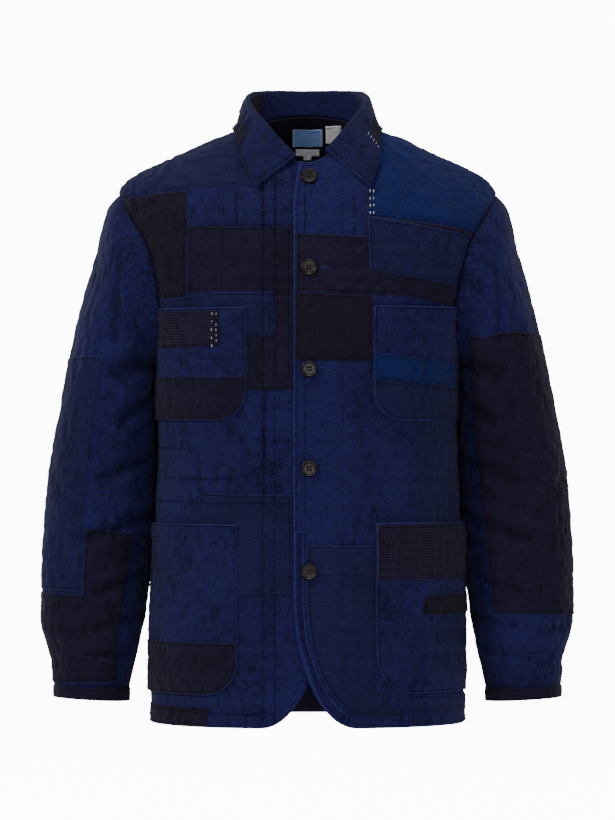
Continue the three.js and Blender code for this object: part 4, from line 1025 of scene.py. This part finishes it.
SLEEVE_PATCHES = [
    ("elbow_patch_right", "right", dot_twill, "dot_twill",
     [(-1.5, 4.2), (1.8, 4.1), (3, 3.8), (4.15, 3.3), (4.15, 8.2), (-1.5, 8.2)]),
    ("forearm_patch_right", "right", midnight, "midnight",
     [(4.25, 6.8), (6.2, 6.8), (5.8, 10.2), (5.9, 12.7), (-1.5, 12.9), (-1.5, 8.3), (4.25, 8.3)]),
    ("long_patch_left", "left", midnight, "midnight",
     [(-1.5, 3.8), (1, 3.7), (2, 3.6), (3, 3.3), (4, 2.7), (5, 1.9), (5.9, 0.7), (6.3, 3.4), (6.1, 6.2),
      (5.9, 8.9), (-1.5, 9.1)])]
for node, name, finish, slot, outline in SLEEVE_PATCHES:
    loops = [closed(sleeves[name], spaced([*outline, outline[0]], 0.08)[:-1])]
    cut_piece(node, sleeves[name], loops, GAP, GAP + PATCH, finish, slot, 2.6)
    sewn_loops.append((sleeves[name], loops, GAP + PATCH, None))

# ---------------------------------------------------------------- the collar
# A stand that rises from the neckline and a leaf folded down over it, in one, with two pointed fronts. Keys run
# by turn round the neck, 0 at the back and 180 in front.
ROLL = [[(0, 0), (45, 51), (70, 67), (90, 71), (115, 65), (140, 46), (155, 30), (168, 15)],
        [(0, 73), (45, 55), (70, 28), (90, 4), (115, -28), (140, -61), (155, -78), (168, -88)],
        [(0, 51), (45, 50), (70, 46), (90, 39), (115, 24), (140, 0), (155, -20), (168, -36)]]
LEAF_X = [(0, 0), (45, 63), (70, 85), (90, 90), (115, 86), (140, 79), (155, 70), (168, 61)]
LEAF_Z = [(0, 2), (45, 0), (70, -1), (90, -2), (115, -15), (140, -41), (155, -58), (168, -75)]
ACROSS = [0, 19, 38, 41, 44.5, 62, 80, 97]       # cloth from the neck seam to each point of a section
COLLAR_GIRTH = 78                                # cloth per radian of its turn


def clear_body(points):
    """Points closer to the shoulders than 5.4 are moved out along the body's normal."""
    forward = points[:, 1] < 0
    z = np.minimum(points[:, 2], follow(SHOULDER, np.abs(points[:, 0])) - 0.5)
    moved = points.copy()
    for front, keys in ((True, FRONT_DEPTH), (False, BACK_DEPTH)):
        rows = forward == front
        deep = body_depth(points[rows, 0], z[rows], keys)
        spots = np.stack([points[rows, 0], -deep if front else deep, z[rows]], -1)
        out = body_normal(spots, keys)
        high = ((points[rows] - spots) * out).sum(1)
        moved[rows] += out * np.maximum(5.4 - high, 0)[:, None]
    return moved


class Collar:
    """The collar, unrolled: p runs from the right point round the back to the left point, and w from the neck
    seam over the fold to the edge. A section is a smooth curve through eight points."""

    def flat(self, corners):
        turn, place = np.asarray(corners, float).T
        return np.stack([np.radians(turn) * COLLAR_GIRTH, np.interp(place, np.arange(8), ACROSS)], -1)

    def cloth(self, flat):
        return flat

    def section(self, turn, side):
        angle = np.radians(turn)
        forward = turn > 90
        x = 75 * np.sin(angle)
        neck_height = np.where(forward, neck_z(x), 6 + 16 * (1 - (x / 75) ** 2))
        deep = np.where(forward, -body_depth(x, neck_height, FRONT_DEPTH),
                        body_depth(x, neck_height, BACK_DEPTH))
        neck = np.stack([x - 1.5 * np.sin(angle), deep * 0.985, neck_height + 0.8], -1)
        roll = np.stack([follow(keys, turn) for keys in ROLL], -1)
        out = np.stack([np.sin(angle), np.cos(angle), angle * 0], -1)
        edge_turn = np.where(side > 0, turn * 168 / 162, turn)
        x = follow(LEAF_X, edge_turn) + np.where(side > 0, 13 * ease(100, 162, turn), 0)
        z = follow(LEAF_Z, edge_turn)
        low = np.minimum(z, follow(SHOULDER, x) - 0.5)
        deep = np.where(forward, -body_depth(x, low, FRONT_DEPTH), body_depth(x, low, BACK_DEPTH))
        edge = np.stack([x, deep, z], -1)
        crown, fold = roll + out * 2.6 + (0, 0, 2.2), roll + out * 5.4 - (0, 0, 0.6)
        leaf = [clear_body(fold + (edge - fold) * share) for share in (0.35, 0.7, 1)]
        return np.stack([neck, (neck + roll) / 2, roll, crown, fold, *leaf], 1) * np.stack(
            [side, side * 0 + 1, side * 0 + 1], -1)[:, None]

    def spot(self, flat):
        side = np.where(flat[:, 0] < 0, -1.0, 1.0)
        points = self.section(np.degrees(np.abs(flat[:, 0])) / COLLAR_GIRTH, side)
        place = np.interp(flat[:, 1], ACROSS, np.arange(8))
        i = np.clip(place.astype(int), 0, 6)
        t, rows = (place - i)[:, None], np.arange(len(flat))
        before, a, b, after = (points[rows, np.clip(i + k, 0, 7)] for k in (-1, 0, 1, 2))
        return 0.5 * (2 * a + (b - before) * t + (2 * before - 5 * a + 4 * b - after) * t**2
                      + (3 * a - before - 3 * b + after) * t**3)

    def normal(self, flat, spots):
        right = self.spot(flat + (1.5, 0)) - self.spot(flat - (1.5, 0))
        up = self.spot(flat + (0, 0.6) * (flat[:, 1:] < 96)) - self.spot(flat - (0, 0.6) * (flat[:, 1:] > 1))
        out = np.cross(right, up)
        return out / np.maximum(np.linalg.norm(out, axis=1, keepdims=True), 1e-9)

    def height(self, flat, spots):
        """Soft ripples, most on the leaf, and a shallow valley 6 in from its edge where it is stitched."""
        leaf = ease(44, 60, flat[:, 1])
        valley = np.exp(-(((flat[:, 1] - 91) / 2.2) ** 2))
        return (0.9 * ripple(91, 26, 15, flat) + 0.5 * ripple(92, 11, 9,
                                                              flat)) * (0.35 + 0.65 * leaf) - 0.5 * valley


collar = Collar()
collar_outline = [(-168, 0), *[(turn, 0) for turn in range(-160, 160, 8)], (162, 0), (162, 7),
                  *[(turn, 7) for turn in range(160, -168, -8)], (-168, 7)]
cut_piece("collar", collar, [closed(collar, collar_outline)], -1.1, 1.1, indigo, "indigo", 2.4)
COLLAR_PATCHES = [
    ("collar_dark_patch_right", midnight, "midnight", [(-95, 5.2), (-95, 6.7), (-131, 6.7), (-127, 5.2)]),
    ("collar_twill_patch_right", dot_twill, "dot_twill", [(-64, 4.2), (-64, 5.2), (-112, 5.2), (-112, 4.3)]),
    ("collar_stand_patch", midnight, "midnight", [(-84, 0.2), (-84, 1.9), (-50, 1.9), (-50, 0.2)]),
    ("collar_dark_patch_left", midnight, "midnight", [(96, 5.3), (96, 6.7), (127, 6.7), (124, 5.3)])]
for node, finish, slot, outline in COLLAR_PATCHES:
    loops = [closed(collar, outline)]
    cut_piece(node, collar, loops, 1.2, 2.1, finish, slot, 1.8)
    sewn_loops.append((collar, loops, 2.1, None))

# ---------------------------------------------------------------- buttons
# Five dark horn buttons, dished with a round rim and four sunk thread holes, on the edge of the over front. The
# # holes are painted near black as painted shade.
BUTTON_HEIGHTS = [-63, -172, -293, -412, -535]
horn = Finish("dark horn", 0.34, specular=0.3)
grained = horn.noise(horn.node("ShaderNodeTexCoord", output=3), (240, 240, 900), 4.0, 0.6)
brown = horn.mix(grained.between(0.35, 0.7), dye(11, 6, 6), dye(30, 20, 20))
# Painted shade: the four thread holes, given by the rise mark, are painted near black.
horn.set("Base Color", horn.mix(horn.mark("rise").between(0.1, 0.5), brown, dye(3, 2, 3)))
horn.set("Coat Weight", 0.12)
radii = np.concatenate([np.linspace(0, 7, 20), np.linspace(7.2, 10.4, 20)])
angles = np.linspace(0, 2 * np.pi, 65)[:-1]


def button_wells(x, y):
    """Four round holes 0.95 in radius, as exp(-(d^2/0.85)^2)."""
    return np.minimum(sum(np.exp(-((((x - a) ** 2 + (y - b) ** 2) / 0.85) ** 2))
                          for a in (-1.75, 1.75) for b in (-1.75, 1.75)), 1)


def button_top(x, y):
    """Height over the dish: flat floor, a rounded rim from 7 to 10.4, and four narrow wells 2.1 from the middle."""
    far = np.hypot(x, y)
    rim = 1.6 * np.exp(-(((far - 8.7) / 1.25) ** 2)) - 1.9 * ease(9.3, 10.5, far)
    return 2.0 + rim - 1.5 * button_wells(x, y)


for number, z in enumerate(BUTTON_HEIGHTS, 1):
    r, a = np.meshgrid(radii, angles, indexing="ij")
    x, y = r * np.cos(a), r * np.sin(a)
    top = np.stack([x, y, button_top(x, y)], -1)
    under_side = np.stack([x[::8], y[::8], x[::8] * 0], -1)[::-1]
    shell = np.concatenate([top, under_side]).reshape(-1, 3)
    rows = len(radii) + len(under_side)
    i, j = np.meshgrid(np.arange(rows - 1), np.arange(64), indexing="ij")
    i, j = i.ravel(), j.ravel()
    faces = np.stack([i * 64 + j, (i + 1) * 64 + j, (i + 1) * 64 + (j + 1) % 64, i * 64 + (j + 1) % 64], -1)
    spots, normals, _ = lie(over, over.flat([(2, z)]))
    up = np.array([0, 0, 1.0])
    right = np.cross(up, normals[0])
    right /= np.linalg.norm(right)
    axes = np.stack([right, np.cross(normals[0], right), normals[0]])
    points = spots[0] + normals[0] * 1.7 + shell @ axes
    # The holes' mask goes in as the rise mark, which the horn finish paints near black as shade.
    wells = np.concatenate([button_wells(x, y).ravel(), np.zeros(under_side.size // 3)])
    button = put_mesh(f"button_{number}_horn", points, faces, None, {"rise": wells})
    button.data.materials.append(horn.material)
    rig.ride(button, "root")
    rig.replaces(button, f"button_{number}")
    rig.slot(button, "horn")

# ---------------------------------------------------------------- stitches
# Running stitches hold every patch and pocket just inside its edge and follow the seams; white ones are left
# # showing by one pocket, the shoulder and the collar, and pale blue ones close the darned edges and buttonholes.
# # The indigo ones are near black: partly the thread's own colour, partly painted shade of the valleys they lie in.
thread_and_valley_shade, pale_thread, white_thread = {}, {}, {}
for colour, name, shade in ((thread_and_valley_shade, "indigo thread", dye(6, 5, 17)),
                            (pale_thread, "pale blue thread", dye(52, 60, 112)),
                            (white_thread, "white thread", dye(215, 215, 222))):
    thread = Finish(name, 0.9, specular=0.03)
    thread.set("Base Color", shade)
    colour["finish"], colour["points"] = thread.material, []


def stitch(colour, surface, starts, ends, above, wide=0.7, bulge=None):
    """Stitches from each start to each end on the flat: a lozenge whose ends dip into the cloth and whose middle
    stands proud. Rows are start, left, crown, right and end."""
    starts, ends = np.asarray(starts, float), np.asarray(ends, float)
    along = ends - starts
    left = wide / 2 * np.stack([-along[:, 1], along[:, 0]], -1) / np.maximum(np.hypot(*along.T)[:, None],
                                                                             1e-9)
    middle = (starts + ends) / 2
    flat = np.stack([starts, middle + left, middle, middle - left, ends], 1).reshape(-1, 2)
    spots, normals, _ = lie(surface, flat)
    high = np.tile([-0.25, 0.1, 0.5, 0.1, -0.25], len(starts)) + above
    if bulge is not None:
        high = high + bulge(flat, flat[:, 0] * 0 + 3.0)
    colour["points"].append(spots + normals * high[:, None])


def run(colour, surface, line, above, length=2.5, pitch=3.3, wide=0.9, bulge=None, away=4.5):
    """Running stitches along a flat line, leaving out those close to a panel's seams."""
    line = np.asarray(line, float)
    gone = np.concatenate([[0], np.cumsum(np.hypot(*np.diff(line, axis=0).T))])
    middle = np.arange(pitch, gone[-1] - pitch / 2, pitch)
    if not len(middle):
        return
    starts, ends = (np.stack([np.interp(middle + k * length / 2, gone, line[:, i]) for i in (0, 1)],
                             -1) for k in (-1, 1))
    if isinstance(surface, BodyFace) and away:
        clear = nearest((starts + ends) / 2, surface.seams[:-1], np.diff(surface.seams, axis=0))[0] > away
        starts, ends = starts[clear], ends[clear]
    if len(starts):
        stitch(colour, surface, starts, ends, above, wide, bulge)


for surface, loops, top, bulge in sewn_loops:
    cut = Cut(loops)
    ends = cut.starts + cut.spans
    breaks = np.nonzero(np.hypot(*(cut.starts[1:] - ends[:-1]).T) > 0.5)[0] + 1
    for part in np.split(np.arange(len(cut.starts)), breaks):
        line = np.vstack([cut.starts[part], ends[part[-1:]]])
        way = np.gradient(line, axis=0) if len(line) > 2 else np.diff(line, axis=0)[[0, 0]]
        way /= np.maximum(np.hypot(*way.T)[:, None], 1e-9)
        run(thread_and_valley_shade, surface, line + 2.3 * np.stack([-way[:, 1], way[:, 0]], -1), top, bulge=bulge)
# The stitched valleys get near-black stitches: the thread's own dark colour and painted shade of the valleys.
for surface in (under, over, behind):
    for line, _ in surface.valleys:
        run(thread_and_valley_shade, surface, line, 0.1)


def marks_on(surface, colour, places, above, wide=0.9, bulge=None):
    """Single stitches given as (x, z, to x, to z) on the body."""
    places = np.asarray(places, float)
    stitch(colour, surface, surface.flat(places[:, :2]), surface.flat(places[:, 2:]), above, wide, bulge)


POCKET_LINES = [("chest_pocket_right", under, [(-102, -234), (-74, -234)]),
                ("chest_pocket_left", over, [(79, -231), (178, -238)]),
                ("hip_pocket_right", under, [(-186, -496), (-84, -493)]),
                ("hip_pocket_right", under, [(-186, -534), (-84, -534)]),
                ("hip_pocket_left", over, [(83, -590), (186, -600)])]
for node, surface, line in POCKET_LINES:
    run(thread_and_valley_shade, surface, surface.flat(spaced(line)), POCKET + POCKET_WALL, bulge=swells[node])
trim_top = POCKET + POCKET_WALL + GAP + PATCH
marks_on(under, white_thread, [(-112, z, -112.4, z - 5) for z in (-224, -233, -243, -253, -262)], trim_top,
         1.2,
         swells["chest_pocket_right"])
marks_on(under, white_thread, [(-107, z, -107, z - 3.6) for z in np.arange(-225, -262, -6.4)], trim_top, 1.0,
         swells["chest_pocket_right"])
marks_on(under, pale_thread, [(x, -298.5 - (x + 102) * 0.02, x - 0.6, -303.5) for x in np.arange(-168, -76,
                                                                                                 3.1)],
         trim_top, 0.7, swells["chest_pocket_right"])
marks_on(over, pale_thread, [(x, -586 - (x - 84) * 0.1, x + 0.3,
                              -590.5 - (x - 84) * 0.1) for x in np.arange(86, 176, 3.4)],
         POCKET + POCKET_WALL, 0.7, swells["hip_pocket_left"])
marks_on(over, white_thread, [(x, z, x - 0.3, z - 5) for z in (-76, -85, -94, -103) for x in (75.2, 79.4)],
         1.2, 1.1)
marks_on(over, pale_thread, [(-15.6 + side, z, -15.6 - side, z - 2.6) for z in np.arange(-130, -560, -5.2)
                             for side in (1.4, -1.4)], 0.1, 0.6)
marks_on(over, pale_thread, [(x, z + 1.9, x, z + 0.3) for z0 in BUTTON_HEIGHTS for z in (z0, z0 - 2.2)
                             for x in np.arange(13, 29, 0.8)], 1.1, 0.7)
stitch(white_thread, collar, collar.flat([(125, 5.3 + k * 0.3) for k in range(5)]),
       collar.flat([(129, 5.3 + k * 0.3) for k in range(5)]), 1.3, 1.0)
edge_line = [(turn, place) for turn, place in zip(np.linspace(-166, 160, 260), np.full(260, 6.66))]
run(thread_and_valley_shade, collar, collar.flat(edge_line), 1.15)
for side, ends in (("right", [(2.1, 10.9), (5.9, 11.7)]), ("left", [(-0.7, 10.8), (6.4, 11.4)])):
    run(pale_thread, sleeves[side], sleeves[side].flat(spaced(ends, 0.1)), 1.2)
for colour, name in ((thread_and_valley_shade, "stitches_indigo"), (pale_thread, "stitches_pale"),
                     (white_thread, "stitches_white")):
    points = np.concatenate(colour["points"])
    first = np.arange(0, len(points), 5)[:, None]
    faces = np.vstack([first + corners for corners in (
        [0, 3, 2, -9**9], [0, 2, 1, -9**9], [4, 2, 3, -9**9], [4, 1, 2, -9**9], [0, 1, 4, 3])])
    threads = put_mesh(name, points, faces)
    threads.data.materials.append(colour["finish"])
    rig.ride(threads, "root")
    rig.slot(threads, "thread")

# ---------------------------------------------------------------- the room
# A pale floor well below the hem, a pale surrounding light and three large soft lamps. The camera looks level
# at the middle of the front.
floor_mesh = bpy.data.meshes.new("floor")
floor_mesh.from_pydata([(-40, -40, -1.02), (40, -40, -1.02), (40, 40, -1.02), (-40, 40, -1.02)], [],
                       [(0, 1, 2, 3)])
floor = bpy.data.objects.new("floor", floor_mesh)
bpy.context.scene.collection.objects.link(floor)
pale = Finish("pale floor", 0.9)
pale.set("Base Color", (0.86, 0.86, 0.86, 1))
pale.set("Emission Color", pale.node("ShaderNodeLightPath"))
pale.set("Emission Strength", 12)
floor_mesh.materials.append(pale.material)
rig.stage(floor)

world = bpy.data.worlds.new("studio")
bpy.context.scene.world = world
world.use_nodes = True
world.node_tree.nodes["Background"].inputs["Color"].default_value = (1, 1, 1, 1)
seen = world.node_tree.nodes.new("ShaderNodeLightPath")
level = world.node_tree.nodes.new("ShaderNodeMath")
level.operation = "MULTIPLY_ADD"
level.inputs[1].default_value, level.inputs[2].default_value = 12, 0.22
world.node_tree.links.new(seen.outputs["Is Camera Ray"], level.inputs[0])
world.node_tree.links.new(level.outputs[0], world.node_tree.nodes["Background"].inputs["Strength"])


def soft_lamp(name, spot, aim, width, power):
    """A square area lamp of that width, turned to look from its spot at its aim."""
    lamp = bpy.data.lights.new(name, "AREA")
    lamp.size, lamp.energy = width, power
    holder = bpy.data.objects.new(name, lamp)
    bpy.context.scene.collection.objects.link(holder)
    holder.location = spot
    holder.rotation_euler = (Vector(aim) - Vector(spot)).to_track_quat("-Z", "Y").to_euler()


soft_lamp("key", (-2.4, -1.9, 1.5), (0, 0, -0.35), 0.9, 58)
soft_lamp("fill", (2.8, -1.8, 0.6), (0, 0, -0.35), 1.2, 24)
soft_lamp("top", (0, -0.5, 2.4), (0, 0, -0.2), 1.2, 28)
soft_lamp("front", (0, -3.2, 0.2), (0, 0, 0), 1.0, 14)
soft_lamp("rear left", (-2.4, 2.6, 1.2), (0, 0, -0.35), 1.2, 60)
soft_lamp("rear right", (2.8, 2.2, 0.8), (0, 0, -0.35), 1.2, 34)

camera = bpy.data.cameras.new("camera")
camera.sensor_fit = "VERTICAL"
camera.sensor_height = 36
camera.lens = 36 * 5.5 / 1.0045
eye = bpy.data.objects.new("camera", camera)
bpy.context.scene.collection.objects.link(eye)
eye.location = (0, -5.5, -0.342)
eye.rotation_euler = (np.pi / 2, 0, 0)
bpy.context.scene.camera = eye

looks_box = [list(corner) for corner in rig.bounds()]
with open("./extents.json", "w") as sizes:
    json.dump({"cad": cad_box, "looks": looks_box}, sizes)
